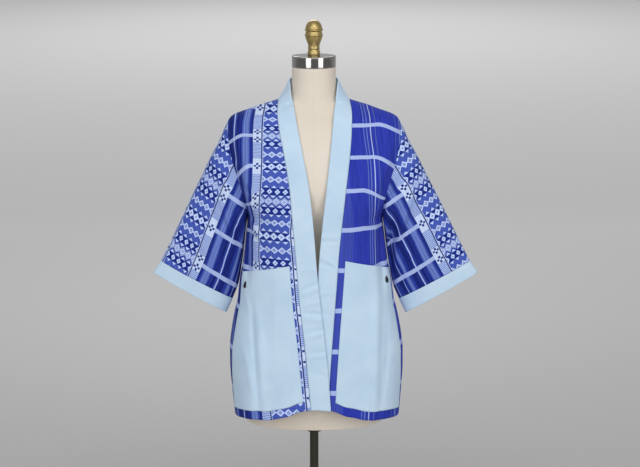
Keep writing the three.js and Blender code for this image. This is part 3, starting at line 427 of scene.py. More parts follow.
def fold_height(x, z, face):
    """The height of all folds together at places on the front or the back."""
    height = np.zeros(np.broadcast(x, z).shape)
    for row in np.nonzero(FOLDS["face"] == face)[0]:
        x0, z0, x1, z1, half_width, peak = (
            FOLDS[key][row] for key in ("x0", "z0", "x1", "z1", "width", "height"))
        run_x, run_z = x1 - x0, z1 - z0
        length = math.hypot(run_x, run_z)
        along = ((x - x0) * run_x + (z - z0) * run_z) / length ** 2
        across = np.abs((x - x0) * run_z - (z - z0) * run_x) / length
        fade = ease(along, -0.1, 0.3) * (1 - ease(along, 0.8, 1.15))
        height = height + peak * fade * np.exp(-(across / half_width) ** 2)
    return height


# The tip of the shoulder, the underarm and the hem at the side seam.
TIP_OUT, TIP_UP, UNDERARM_OUT, UNDERARM_UP, SIDE_HEM = 207.0, 1306, 166, 1076, 580
# The neck opening's half width and height, and how much the nape stands above it.
NECK_HALF, NECK_UP, NAPE_RISE = 86.0, 1358, 8
# The right front stands off where it laps over the left one, and the hem hangs to one side.
LAP_LIFT, HEM_SWAY = 5.5, 7
# An estimate that feeds itself has settled after this many rounds.
ROUNDS = 30


def cloth_half(z):
    """The body's half width. Above the shoulder tip it is the shoulder line turned round."""
    low, high = np.zeros_like(z), np.full_like(z, TIP_OUT)
    for _ in range(ROUNDS):
        middle = (low + high) / 2
        above = through(SHOULDER, "x", "z")(middle) > z
        low, high = np.where(above, middle, low), np.where(above, high, middle)
    return np.where(z <= TIP_UP, through(CLOTH, "z", "half")(z), (low + high) / 2)


def lap_lift(x, z, side):
    """How far a front stands off for the lap, which only the right one does."""
    return 0 * x if side > 0 else LAP_LIFT * ease(x, -130, -50) * (1 - ease(z, 1000, 1150))


def sway(z):
    """How far to the side the body hangs at a height."""
    return HEM_SWAY * np.maximum(0, TIP_UP - z) / (TIP_UP - SIDE_HEM)


def body_point(x, z, face, lift=0):
    """Points of the body's outer surface, on the front (face -1) or the back (face 1)."""
    x, z = np.broadcast_arrays(np.asarray(x, float), np.asarray(z, float))
    power = through(CLOTH, "z", "power")(z)
    reach = np.minimum(1, np.abs(x) / cloth_half(z))
    centre = through(CLOTH, "z", "front" if face < 0 else "back")(z)
    depth = centre * (1 - reach ** power) ** (1 / power)
    # The folds fade out towards the side seams.
    facing = ease(depth, 0, 0.6 * centre)
    out = depth + (fold_height(x, z, face) + uneven(x, z, 5 + face) + lift) * facing
    return np.stack([x + sway(z), face * out, z], -1)


def level_height(x, level, face):
    """The height of a level line: 0 at the shoulder or neckline, 1 at the hem."""
    x = np.abs(x)
    top = through(SHOULDER, "x", "z")(x)
    if face > 0:
        top = np.where(x < NECK_HALF, NECK_UP + NAPE_RISE * (1 - (x / NECK_HALF) ** 2), top)
    return top + (through(HEM, "x", "front" if face < 0 else "back")(x) - top) * level


def side_edge(level, face):
    """How far out each level ends, at the armhole or the side seam."""
    x = np.full_like(level, TIP_OUT)
    for _ in range(ROUNDS):
        z = level_height(x, level, face)
        x = np.where(z > UNDERARM_UP, through(ARMHOLE, "z", "x")(z), cloth_half(z))
    return x


def band_seam(level, side):
    """How far out each level of a front meets the band."""
    x = np.full_like(level, NECK_HALF)
    for _ in range(ROUNDS):
        x = through(BAND[side], "z", "seam")(level_height(x, level, -1))
    return x


def even_rows(points, starts, ends, count):
    """Each row of points read again at even steps, with the distance along it."""
    rows, distances = [], []
    for line, start, end in zip(points, starts, ends):
        step = np.linalg.norm(np.diff(line, axis=0), axis=1)
        along = np.concatenate([[0], np.cumsum(step)])
        wanted = np.linspace(start, along[-1] - end, count)
        rows.append(np.stack([np.interp(wanted, along, line[:, k]) for k in range(3)], -1))
        distances.append(wanted)
    return np.stack(rows), np.stack(distances)


def front_lines(side, level):
    """Points of one front along each level, from its band seam to its armhole or side seam."""
    share = np.sin(np.linspace(0, np.pi / 2, 140))
    x = band_seam(level, side)[:, None] * (1 - share) + side_edge(level, -1)[:, None] * share
    z = level_height(x, level[:, None], -1)
    return body_point(side * x, z, -1, lap_lift(side * x, z, side))


def back_lines(level):
    """Points of the back along each level, from one side to the other."""
    share = np.sin(np.linspace(-np.pi / 2, np.pi / 2, 240))
    x = side_edge(level, 1)[:, None] * share
    z = level_height(x, level[:, None], 1)
    return body_point(x, z, 1)


def grid_normals(grid, outward=None, wrap=False):
    """Unit normals of a grid of points. They face outward, or away from a tube's middle."""
    if wrap:
        across = np.roll(grid, -1, 1) - np.roll(grid, 1, 1)
    else:
        across = np.gradient(grid, axis=1)
    normals = np.cross(across, np.gradient(grid, axis=0))
    normals /= np.linalg.norm(normals, axis=-1, keepdims=True) + 1e-12
    if wrap:
        outward = grid - grid.mean(1, keepdims=True)
    middle = (normals * outward)[grid.shape[0] // 2].sum()
    return normals if middle > 0 else -normals


def shell(name, outer, normals, thickness, cloth, wrap, material, takes, *nodes):
    """A cloth piece: its outer points, the same moved in by its thickness, and closed edges.
    cloth holds each point's place in the flat cloth in millimetres."""
    rows, count = outer.shape[:2]
    points = np.concatenate([outer.reshape(-1, 3), (outer - normals * thickness).reshape(-1, 3)])
    layer = rows * count
    span = np.arange(count if wrap else count - 1)
    j, i = np.meshgrid(np.arange(rows - 1), span, indexing="ij")
    a, b = j * count + i, j * count + (i + 1) % count
    outside = np.stack([a, b, b + count, a + count], -1).reshape(-1, 4)
    inside = outside[:, ::-1] + layer
    i, k, last = span, (span + 1) % count, (rows - 1) * count
    edges = [np.stack([i, i + layer, k + layer, k], -1),
             np.stack([last + k, last + k + layer, last + i + layer, last + i], -1)]
    if not wrap:
        j = np.arange(rows - 1) * count
        m = j + count - 1
        edges += [np.stack([j, j + count, j + count + layer, j + layer], -1),
                  np.stack([m, m + layer, m + count + layer, m + count], -1)]
    faces = np.concatenate([outside, inside, *edges])
    # The faces turn outwards where the first one's own normal agrees with the cloth's.
    first = points[outside[len(outside) // 2]]
    facing = np.cross(first[1] - first[0], first[2] - first[0])
    if facing @ normals.reshape(-1, 3)[outside[len(outside) // 2, 0]] < 0:
        faces = faces[:, ::-1]
    piece = make_piece(name, points, faces.tolist(), material, takes, *nodes)
    flat = np.concatenate([cloth.reshape(-1, 2)] * 2)
    loops = flat[faces]
    if wrap:
        # The last column of a tube closes on the first, so its cloth runs on by one step.
        seam = cloth[:, -1:] + (cloth[:, -1:] - cloth[:, -2:-1])
        columns_at = faces % layer % count
        rows_at = faces % layer // count
        closes = (columns_at == 0) & (columns_at.max(1, keepdims=True) == count - 1)
        loops[closes] = seam[rows_at[closes], 0]
    layer_uv = piece.data.uv_layers.new(name="cloth")
    layer_uv.data.foreach_set("uv", loops.astype(np.float32).ravel())
    return piece


# The woven cloth. Its warp gives a column of diamonds 81 mm wide between two dark
# lines, a ladder strip on each side, then streaked stripes on royal blue. Light
# weft bars cross it every 100 mm. All distances are millimetres in the flat cloth.
ROYAL, NAVY, DEEP, INK = "#2b38b0", "#18298c", "#1b3088", "#0d1d74"
MIDDLE, PALE = "#3a50b0", "#c3d6ff"
COLUMN_WIDE = 81
COLUMN_MIDDLE, MOTIF_HALF, BARS_APART = COLUMN_WIDE / 2, 9.5, 100.0
handwoven, tree = new_finish(
    "handwoven_strip_cotton", Roughness=0.9, Specular_IOR_Level=0.12, Sheen_Weight=0.02)
cloth_place = add(tree, "UVMap", uv_map="cloth")
split = add(tree, "SeparateXYZ", cloth_place)
wobble = add(tree, "TexNoise", cloth_place, named={"Scale": 0.02, "Detail": 2})
wobble = add(tree, "Math", wobble, 0.5, operation="SUBTRACT")
wobble = add(tree, "Math", wobble, 5.0, operation="MULTIPLY")
warp = split.outputs[0]
weft = add(tree, "Math", split.outputs[1], wobble, operation="ADD")
from_middle = add(tree, "Math", warp, COLUMN_MIDDLE, operation="SUBTRACT")
side_of_column = add(tree, "Math", from_middle, operation="ABSOLUTE")

# Diamond column: motif is the distance from the nearest motif's middle, and row the
# distance along the cloth from the nearest pale lattice, which lies on every other bar.
motif = add(tree, "Math", from_middle, MOTIF_HALF, operation="PINGPONG")
row = add(tree, "Math", weft, BARS_APART, operation="PINGPONG")
gap = add(tree, "Math", MOTIF_HALF, motif, operation="SUBTRACT")
speckle = add(tree, "TexNoise", cloth_place, named={"Scale": 0.55, "Detail": 1})
column_colour = add(tree, "Mix", data_type="RGBA", named={
    0: add(tree, "MapRange", speckle, 0.45, 0.7), 6: linear(MIDDLE), 7: linear("#6278ca")})
# Each row of motifs: where it starts and ends, its middle, how steep its diamonds
# are, how far out they reach where they stand alone on the ground, and the rings of
# one diamond outwards from its middle. RING_SPAN is more than the longest reach.
RING_SPAN = 40.0
ROWS = (
    (0.0, 17.0, 0.0, 1.0, None, (
        (0, DEEP), (1.4, PALE), (3.4, MIDDLE), (4.8, PALE), (9.4, DEEP), (11.2, PALE),
        (12.8, MIDDLE), (14.4, DEEP), (16.0, MIDDLE))),
    (17.0, 38.0, 27.5, 1.19, None, ((0, DEEP), (1.9, PALE), (7.9, DEEP))),
    (50.0, 74.0, 62.0, 0.97, 10.8, (
        (0, DEEP), (1.6, PALE), (3.2, MIDDLE), (4.9, PALE), (9.9, DEEP), (10.8, MIDDLE))),
    (87.5, 100.1, 100.0, 1.05, None, ((0, DEEP), (2.2, PALE), (10.6, DEEP))))
for start, end, middle, steep, reach, rings_out in ROWS:
    away = add(tree, "Math", row, middle, operation="SUBTRACT")
    away = add(tree, "Math", away, operation="ABSOLUTE")
    slant = add(tree, "Math", motif, steep, operation="MULTIPLY")
    ring = add(tree, "Math", away, slant, operation="ADD")
    ring_share = add(tree, "Math", ring, RING_SPAN, operation="DIVIDE")
    colours = add(tree, "ValToRGB", ring_share, stepped=True,
                  stops=[(out_at / RING_SPAN, colour) for out_at, colour in rings_out])
    after = add(tree, "Math", row, start, operation="GREATER_THAN")
    before = add(tree, "Math", row, end, operation="LESS_THAN")
    here = add(tree, "Math", after, before, operation="MULTIPLY")
    if reach:
        within = add(tree, "Math", ring, reach, operation="LESS_THAN")
        here = add(tree, "Math", here, within, operation="MULTIPLY")
    column_colour = add(tree, "Mix", data_type="RGBA",
                        named={0: here, 6: column_colour, 7: colours})
# Light triangles between the motifs, along both edges of the dark bands.
SLOPE = 0.9
for base_at, point_at in ((17.0, 9.5), (38.0, 45.0), (87.5, 80.0)):
    rise = add(tree, "Math", row, point_at, operation="SUBTRACT")
    rise = add(tree, "Math", rise, SLOPE if base_at > point_at else -SLOPE, operation="MULTIPLY")
    inside = add(tree, "Math", gap, rise, operation="LESS_THAN")
    short = add(tree, "Math", rise, SLOPE * abs(base_at - point_at), operation="LESS_THAN")
    mask = add(tree, "Math", inside, short, operation="MULTIPLY")
    column_colour = add(tree, "Mix", data_type="RGBA",
                        named={0: mask, 6: column_colour, 7: linear(PALE)})

# Ladder strips: rungs 4.6 mm apart, a light block at each bar, with dark checks.
RUNG_HALF, RUNG_LIGHT, BLOCK_HALF, LADDER_MIDDLE, CHECK = 2.3, 1.5, 23.0, 52.0, 5.4
bar = add(tree, "Math", weft, BARS_APART / 2, operation="PINGPONG")
rung = add(tree, "Math", weft, RUNG_HALF, operation="PINGPONG")
rung = add(tree, "Math", rung, RUNG_LIGHT, operation="GREATER_THAN")
ladder_colour = add(tree, "Mix", data_type="RGBA",
                    named={0: rung, 6: linear("#b4c8f2"), 7: linear("#5570c0")})
block = add(tree, "Math", bar, BLOCK_HALF, operation="LESS_THAN")
ladder_colour = add(tree, "Mix", data_type="RGBA",
                    named={0: block, 6: ladder_colour, 7: linear("#ccdcfa")})
off_centre = add(tree, "Math", side_of_column, LADDER_MIDDLE, operation="SUBTRACT")
off_centre = add(tree, "Math", off_centre, operation="ABSOLUTE")
# Four dark checks round a light one lie on both sides of every other bar, and once
# across each bar between.
double = add(tree, "Math", row, BARS_APART / 2, operation="LESS_THAN")
single = add(tree, "Math", 1.0, double, operation="SUBTRACT")
for kind, middle in ((double, 2.5 * CHECK), (single, 0.0)):
    from_four = add(tree, "Math", bar, middle, operation="SUBTRACT")
    from_four = add(tree, "Math", from_four, operation="ABSOLUTE")
    for across_from, across_to, low, high in (
            (-1.0, CHECK / 2, CHECK / 2, 1.7 * CHECK), (CHECK / 2, 1.5 * CHECK, -1.0, CHECK / 2)):
        mask = kind
        for measure, value, operation in (
                (off_centre, across_from, "GREATER_THAN"), (off_centre, across_to, "LESS_THAN"),
                (from_four, low, "GREATER_THAN"), (from_four, high, "LESS_THAN")):
            within = add(tree, "Math", measure, value, operation=operation)
            mask = add(tree, "Math", mask, within, operation="MULTIPLY")
        ladder_colour = add(tree, "Mix", data_type="RGBA",
                            named={0: mask, 6: ladder_colour, 7: linear(DEEP)})

# Stripes beyond the ladders, as the order of the warp threads across the cloth: where
# each starts and its colour.
STREAKED_FROM, STREAKED_TO, PLAIN_FROM = 100, 300, -640
STREAKED = (
    (102, NAVY), (110, "#3a50ac"), (113, "#6a80cc"), (117, "#7d92d6"), (119, "#6076c6"),
    (122, "#758bd2"), (126, "#4a60b6"), (129, NAVY), (138, INK), (144, "#2c42a2"),
    (149, "#b2c6f6"), (152, NAVY), (156, INK), (168, "#20359a"), (175, "#4c63ba"),
    (178, "#7a8fd4"), (182, "#5168bc"), (185, NAVY), (192, "#8fa5e0"), (194, INK),
    (206, "#2c42a2"), (214, "#9db2ea"), (216, NAVY), (224, "#5c73c4"), (228, "#2a409f"),
    (240, INK), (250, "#8095d8"), (253, NAVY), (262, INK))
PLAIN = (
    (-640, ROYAL), (-560, "#3f4eb8"), (-520, ROYAL), (-473, "#6277c6"), (-471.5, ROYAL),
    (-465.5, "#7086ce"), (-464, ROYAL), (-457, "#b9cbf4"), (-454, ROYAL), (-449.5, "#6277c6"),
    (-448, ROYAL), (-443, "#566bc0"), (-441.5, ROYAL), (-385, "#566bc0"), (-383, ROYAL),
    (-372, "#9db0e6"), (-369, ROYAL), (-364, "#8397d8"), (-361, ROYAL), (-250, "#6277c6"),
    (-248, ROYAL), (-241, "#b9cbf4"), (-238, ROYAL), (-232, "#6277c6"), (-230, ROYAL),
    (-120, "#4a5cbc"), (-104, ROYAL), (-60, "#8397d8"), (-57, ROYAL))
streak_share = add(tree, "MapRange", warp, STREAKED_FROM, STREAKED_TO)
span = STREAKED_TO - STREAKED_FROM
streaked = add(tree, "ValToRGB", streak_share, stepped=True,
               stops=[((at - STREAKED_FROM) / span, colour) for at, colour in STREAKED])
plain_share = add(tree, "MapRange", warp, PLAIN_FROM, 0.0)
plain = add(tree, "ValToRGB", plain_share, stepped=True,
            stops=[((at - PLAIN_FROM) / -PLAIN_FROM, colour) for at, colour in PLAIN])
right_of = add(tree, "Math", warp, 0.0, operation="GREATER_THAN")
stripes = add(tree, "Mix", data_type="RGBA", named={0: right_of, 6: plain, 7: streaked})
# Warp threads differ a little in their dye, which leaves fine streaks lengthwise.
threads = add(tree, "TexNoise", add(tree, "Mapping", cloth_place, named={"Scale": (0.9, 0.012, 1)}),
              named={"Scale": 1, "Detail": 3})
streak = add(tree, "MapRange", threads, 0.42, 0.72, 0.0, 0.30)
stripes = add(tree, "Mix", data_type="RGBA",
              named={0: streak, 6: stripes, 7: linear("#5a6fc6")})
dyed = add(tree, "TexNoise", add(tree, "Mapping", cloth_place, named={"Scale": (0.35, 0.006, 1)}),
           named={"Scale": 1, "Detail": 2})
dyed = add(tree, "MapRange", dyed, 0.35, 0.65, 0.76, 1.06)
stripes = add(tree, "Mix", data_type="RGBA", blend_type="MULTIPLY",
              named={0: 1.0, 6: stripes, 7: dyed})
# The weft bars are beaten in unevenly, and let a little of the stripes through.
BAR_HALF = 6.2
beaten = add(tree, "TexNoise", cloth_place, named={"Scale": 0.35, "Detail": 2})
beaten = add(tree, "Math", beaten, 1.2, operation="MULTIPLY")
bar_edge = add(tree, "Math", bar, beaten, operation="ADD")
on_bar = add(tree, "Math", bar_edge, BAR_HALF, operation="LESS_THAN")
bar_colour = add(tree, "Mix", data_type="RGBA",
                 named={0: 0.12, 6: linear("#b6c8f4"), 7: stripes})
stripes = add(tree, "Mix", data_type="RGBA", named={0: on_bar, 6: stripes, 7: bar_colour})

# Each zone in its place across the warp, then the dark line on each side of the column.
LINE_AT, LINE_HALF, LINE_SPAN, LADDER_OUTER = 41.0, 2.1, 50.0, 62.5
in_zone = add(tree, "Math", side_of_column, LADDER_OUTER, operation="LESS_THAN")
colour = add(tree, "Mix", data_type="RGBA", named={0: in_zone, 6: stripes, 7: ladder_colour})
in_zone = add(tree, "Math", side_of_column, LINE_AT, operation="LESS_THAN")
colour = add(tree, "Mix", data_type="RGBA", named={0: in_zone, 6: colour, 7: column_colour})
line_share = add(tree, "Math", side_of_column, LINE_SPAN, operation="DIVIDE")
edges = add(tree, "ValToRGB", line_share, stepped=True,
            stops=[(0, PALE), (40.2 / LINE_SPAN, "#15226e"), (43 / LINE_SPAN, PALE)])
on_line = add(tree, "Math", side_of_column, LINE_AT, operation="SUBTRACT")
on_line = add(tree, "Math", on_line, operation="ABSOLUTE")
on_line = add(tree, "Math", on_line, LINE_HALF, operation="LESS_THAN")
colour = add(tree, "Mix", data_type="RGBA", named={0: on_line, 6: colour, 7: edges})
# Weave: threads 0.8 mm apart in the cloth, drawn 2.2 mm apart so that they show.
over = add(tree, "TexNoise", add(tree, "Mapping", cloth_place, named={"Scale": (0.45, 1.6, 1)}),
           named={"Scale": 1, "Detail": 2})
shade = add(tree, "MapRange", over, 0.25, 0.75, 0.88, 1.08)
add(tree, "Mix", data_type="RGBA", blend_type="MULTIPLY", to="Base Color",
    named={0: 1.0, 6: colour, 7: shade})
rib = add(tree, "Math", weft, 1.1, operation="PINGPONG")
rib = add(tree, "Math", rib, 0.9, operation="MULTIPLY")
height = add(tree, "Math", rib, over, operation="ADD")
add(tree, "Bump", named={"Strength": 0.4, "Distance": 0.0003, "Height": height}, to="Normal")

# Where each panel lies in the cloth: the warp place at the band seam and the weft
# place at each height, from the panel's own bars and motifs.
RIGHT_CUT = columns(
    "z warp weft", (575, -10, 779), (654, -9.9, 700), (756, -9.5, 600), (857, -9, 500),
    (956, -8.4, 400), (1044, -7.5, 300), (1129, 6, 200), (1210, 26, 100), (1280, 41, 0),
    (1340, 51, -100), (1386, 56, -170))
LEFT_CUT = columns(
    "z warp weft", (575, -557, 890), (664, -557, 800), (766, -555, 700), (866, -555, 600),
    (964, -558, 500), (1061, -552, 400), (1154, -531, 300), (1231, -516, 200),
    (1304, -500, 100), (1386, -495, 0))
# The right front is eased a little where it is sewn to the band.
EASED = {-1: 0.905, 1: 1.0}
# How far the bars sink at the armhole, and how far out they start to.
SUNK = columns(
    "z drop start", (1040, 0, 110), (1090, 14, 112), (1154, 34, 118), (1230, 26, 138),
    (1304, 22, 152), (1386, 20, 152))
RIGHT_SINKS_LATER = 16


def bar_drop(x, z, wide=0):
    """How far a weft bar has sunk beside the armhole, where the shoulder slopes away."""
    start = through(SUNK, "z", "start")(z) + wide
    end = through(ARMHOLE, "z", "x")(z)
    share = np.clip((np.abs(x) - start) / (end - start), 0, 1)
    return through(SUNK, "z", "drop")(z) * share ** 1.5


CLOTH_THICK = 1.5
PANEL_ROWS, FRONT_COLUMNS, BACK_COLUMNS = 210, 84, 150
# The gap at the seam of a front and the band, and at the seams of the front and back.
BAND_GAP, SEAM_GAP = 0.3, 0.15
levels = np.linspace(0, 1, PANEL_ROWS) ** 1.25
no_gap = [0] * PANEL_ROWS
for name, side, cut in (("right", -1, RIGHT_CUT), ("left", 1, LEFT_CUT)):
    lines = front_lines(side, levels)
    grid, along = even_rows(lines, [BAND_GAP] * PANEL_ROWS, no_gap, FRONT_COLUMNS)
    later = RIGHT_SINKS_LATER if side < 0 else 0
    z = grid[..., 2] + bar_drop(grid[..., 0], grid[..., 2], later)
    weft_at = through(cut, "z", "weft")(z)
    warp_at = EASED[side] * along + through(cut, "z", "warp")(grid[:, :1, 2])
    grid[..., 1] = np.minimum(grid[..., 1], -SEAM_GAP)
    normals = grid_normals(grid, np.array([0, -1.0, 0]))
    piece = shell(
        f"front_{name}_cloth", grid, normals, CLOTH_THICK, np.stack([warp_at, weft_at], -1), False,
        handwoven, "woven_cloth", f"front_{name}")

# The back's warp hangs plumb, so its place is measured from the middle of each row.
MIDDLE_WARP = -40
grid, along = even_rows(back_lines(levels), no_gap, no_gap, BACK_COLUMNS)
from_nape = [np.interp(0, row[:, 0], places) for row, places in zip(grid, along)]
warp_at = MIDDLE_WARP - (along - np.array(from_nape)[:, None])
# Its weft is measured down the cloth, up and down from the row below the armholes.
run = np.gradient(grid, axis=1)[1:]
run /= np.linalg.norm(run, axis=-1, keepdims=True)
fall = np.diff(grid, axis=0)
fall = np.linalg.norm(fall - (fall * run).sum(-1, keepdims=True) * run, axis=-1)
fallen = np.concatenate([np.zeros((1, BACK_COLUMNS)), np.cumsum(fall, 0)])
BELOW_ARMHOLES = 120
anchor = grid[BELOW_ARMHOLES]
weft_at = fallen - fallen[BELOW_ARMHOLES] + through(LEFT_CUT, "z", "weft")(anchor[:, 2])
grid[..., 1] = np.maximum(grid[..., 1], SEAM_GAP)
normals = grid_normals(grid, np.array([0, 1.0, 0]))
piece = shell(
    "back_cloth", grid, normals, CLOTH_THICK, np.stack([warp_at, weft_at], -1), False,
    handwoven, "woven_cloth", "back")

# ---------- Sleeves ----------
# Two straight tubes of the same cloth, set on at the dropped armholes with the
# cloth running lengthwise, and pressed nearly flat by their own weight.

# The upper fold and the underarm, at shares of the way from the armhole to the cuff.
SLEEVE = columns(
    "share top_x top_z", (0, 207.5, 1306), (0.05, 217, 1288), (0.13, 230, 1258), (0.225, 250, 1221),
    (0.32, 269, 1182), (0.53, 306, 1108), (0.8, 356, 1006), (0.92, 379.5, 960), (1, 399, 930))
UNDERARM = columns(
    "share x z depth", (0, 166, 1076, 60), (0.2, 169.6, 1035, 54), (0.4, 174.4, 990, 45),
    (0.6, 181.4, 945, 35), (0.78, 189.2, 904, 26), (0.92, 204.5, 865, 20), (1, 220.5, 829, 17))


# The upper end of the sleeve seam, just clear of the shoulder's tip.
SLEEVE_TOP = 207.5


def sleeve_point(side, share, turn):
    """A point of the sleeve: turn 0 is the upper fold, a half turn is the underarm."""
    share, turn = np.broadcast_arrays(share, turn)
    face = np.where(turn <= 0.5, -1, 1)
    angle = turn * 2 * np.pi
    down = (1 - np.cos(angle)) / 2
    top_x = through(SLEEVE, "share", "top_x")(share)
    top_z = through(SLEEVE, "share", "top_z")(share)
    x = side * (top_x + (through(UNDERARM, "share", "x")(share) - top_x) * down)
    z = top_z + (through(UNDERARM, "share", "z")(share) - top_z) * down
    fold = np.where(face < 0, fold_height(x, z, -1), fold_height(x, z, 1)) + uneven(x, z, 9)
    depth = np.abs(np.sin(angle)) ** 0.85 * (through(UNDERARM, "share", "depth")(share) + fold)
    # Near the armhole the tube takes up the shape of the body's own edge.
    hole_z = TIP_UP + (UNDERARM_UP - TIP_UP) * down
    hole_x = through(ARMHOLE, "z", "x")(hole_z)
    hole = np.where((face < 0)[..., None], body_point(side * hole_x, hole_z, -1),
                    body_point(side * hole_x, hole_z, 1))
    chord = SLEEVE_TOP + (UNDERARM_OUT - SLEEVE_TOP) * down
    bow = np.abs(hole[..., 0] - sway(hole_z)) - chord
    free = ease(share, 0, 0.42)
    out_x = x + sway(z) + side * (bow * (1 - free) + 0.5 * ease(down, 0.85, 1))
    out_y = hole[..., 1] + (face * depth - hole[..., 1]) * free
    return np.stack([out_x, out_y, z], -1)


# The upper fold's direction, and the one across the weft bars, which the weight of
# the cuff pulls aslant. That draws the cloth out on one side of the diamond column's
# edge line and in on the other.
FOLD_RUN, BAR_RUN = np.array([0.454, 0, -0.891]), np.array([0.565, 0, -0.825])
BEFORE_LINE, BEYOND_LINE = 1.17, 0.95


def sleeve_cloth(grid, side, line_round):
    """Warp place by the distance round from the diamond column's edge line, which lies
    line_round away from the upper fold, and the place along the run of the bars."""
    step = np.roll(grid, -1, 1) - grid
    ring = np.sqrt(np.maximum(0, (step ** 2).sum(-1) - (step @ (FOLD_RUN * (side, 1, 1))) ** 2))
    round_ = np.concatenate([np.zeros((len(grid), 1)), np.cumsum(ring, 1)[:, :-1]], 1)
    front = np.arange(grid.shape[1])[None, :] <= grid.shape[1] // 2
    beyond = np.where(front, round_, round_ - ring.sum(1, keepdims=True)) - line_round
    warp_at = COLUMN_WIDE + beyond * np.where(beyond < 0, BEFORE_LINE, BEYOND_LINE)
    return warp_at, grid @ (BAR_RUN * (side, 1, 1))


sleeve_share = np.linspace(0.0012, 0.92, 110)
sleeve_turn = np.arange(128) / 128
# Where the column's edge line starts and how it drifts, then the bars' pitch and first bar.
for name, side, line_start, line_drift, pitch, first_bar in (
        ("right", -1, 83, -3.4, 1.0735, -632), ("left", 1, 82.5, -29.7, 1.11, -636)):
    grid = sleeve_point(side, sleeve_share[:, None], sleeve_turn[None, :])
    warp_at, run_at = sleeve_cloth(grid, side, line_start + line_drift * sleeve_share[:, None])
    normals = grid_normals(grid, wrap=True)
    piece = shell(
        f"sleeve_{name}_cloth", grid, normals, CLOTH_THICK,
        np.stack([warp_at, pitch * (run_at - first_bar)], -1), True, handwoven, "woven_cloth",
        f"sleeve_{name}")

# ---------- Cuffs ----------
# A turned-back band of plain pale blue cotton poplin closes each sleeve. The
# cotton is matt, fine and even, a little creased.

poplin, tree = new_finish(
    "pale_blue_cotton_poplin", Roughness=0.8, Specular_IOR_Level=0.3, Sheen_Weight=0.06)
cloth_place = add(tree, "UVMap", uv_map="cloth")
place = add(tree, "TexCoord").outputs["Object"]
cloudy = add(tree, "TexNoise", place, named={"Scale": 14, "Detail": 4})
tint = add(tree, "ValToRGB", cloudy, stops=[(0.3, "#bbd4ea"), (0.7, "#c7def0")])
# Poplin threads lie 0.25 mm apart. They are drawn 1.6 mm apart so that they show.
threads = add(tree, "TexNoise", add(tree, "Mapping", cloth_place, named={"Scale": (0.6, 1.8, 1)}),
              named={"Scale": 1, "Detail": 2})
shade = add(tree, "MapRange", threads, 0.3, 0.7, 0.95, 1.03)
add(tree, "Mix", data_type="RGBA", blend_type="MULTIPLY", to="Base Color",
    named={0: 1.0, 6: tint, 7: shade})
crumple = add(tree, "TexNoise", place, named={"Scale": 45, "Detail": 3, "Distortion": 0.6})
crumple = add(tree, "Math", crumple, 3.0, operation="MULTIPLY")
height = add(tree, "Math", crumple, threads, operation="ADD")
add(tree, "Bump", named={"Strength": 0.3, "Distance": 0.0006, "Height": height}, to="Normal")

CUFF_THICK = 2.0
cuff_share = np.linspace(0.9209, 1, 24)
for name, side in (("right", -1), ("left", 1)):
    grid = sleeve_point(side, cuff_share[:, None], sleeve_turn[None, :])
    warp_at, run_at = sleeve_cloth(grid, side, 0.0)
    normals = grid_normals(grid, wrap=True)
    piece = shell(
        f"cuff_{name}_cloth", grid, normals, CUFF_THICK, np.stack([warp_at, run_at], -1), True,
        poplin, "plain_cotton", f"cuff_{name}")

# ---------- Neckband ----------
# One folded strip of the same poplin, sewn up the right front, round the neck
# and down the left front. It stands up round the neck and lies flat below.

BAND_THICK, BAND_LIFT = 3.0, 0.8
BAND_ROWS, BAND_COLUMNS, FRONT_STATIONS = 520, 15, 25
# The band starts this far down a front, as a share, below its stand-up part.
COLLAR_ENDS = 0.018
# The stand-up part's stations on the front and the back: the seam's height or its
# distance from the middle, then the free edge as x, y and z.
COLLAR_FRONT = ((1351, 52.5, -49, 1362), (1356, 56, -33, 1383), (1358, 58.5, -12, 1399))
COLLAR_BACK = ((80, 59.5, 14, 1405), (60, 49, 42, 1408), (46, 39, 53, 1410), (31, 27, 61, 1411))
NAPE = (0, 0, 67, 1412)


def band_front(side, level):
    """The seam, middle and free edge of the band at each level of a front."""
    stations = []
    for share in (0, 0.5, 1):
        x = np.zeros_like(level)
        for _ in range(ROUNDS):
            z = level_height(x, level, -1)
            seam_at = through(BAND[side], "z", "seam")(z) - BAND_GAP
            x = seam_at + (through(BAND[side], "z", "edge")(z) - seam_at) * share
        z = level_height(x, level, -1)
        lift = lap_lift(side * x, z, side) + BAND_LIFT
        stations.append(body_point(side * x, z, -1, lift))
    return np.stack(stations, 1)


def collar_station(side, seam_point, edge):
    """The seam, middle and free edge of the band at one place round the neck."""
    seam = seam_point + np.array([0, 0, BAND_LIFT])
    edge = np.array([side * edge[0], edge[1], edge[2]], float)
    seam = seam + (edge - seam) * 0.014
    return np.stack([seam, (seam + edge) / 2, edge])


def collar(side):
    """The stations of one half of the stand-up part, from the front to the nape."""
    stations = []
    for seam_z, *edge in COLLAR_FRONT:
        x = float(through(BAND[side], "z", "seam")(seam_z))
        stations.append(collar_station(side, body_point(side * x, seam_z, -1), edge))
    for seam_x, *edge in COLLAR_BACK:
        z = float(level_height(np.array(float(seam_x)), 0, 1))
        stations.append(collar_station(side, body_point(side * seam_x, z, 1), edge))
    return np.stack(stations)


nape_seam = body_point(0.0, float(level_height(np.array(0.0), 0, 1)), 1)
nape = collar_station(1, nape_seam, NAPE[1:])
up_front = 1 - np.arange(FRONT_STATIONS) / (FRONT_STATIONS - 1)
band_levels = COLLAR_ENDS + (1 - COLLAR_ENDS) * up_front ** 1.6
halves = [np.concatenate([band_front(side, band_levels), collar(side)]) for side in (-1, 1)]
stations = np.concatenate([halves[0], nape[None], halves[1][::-1]])


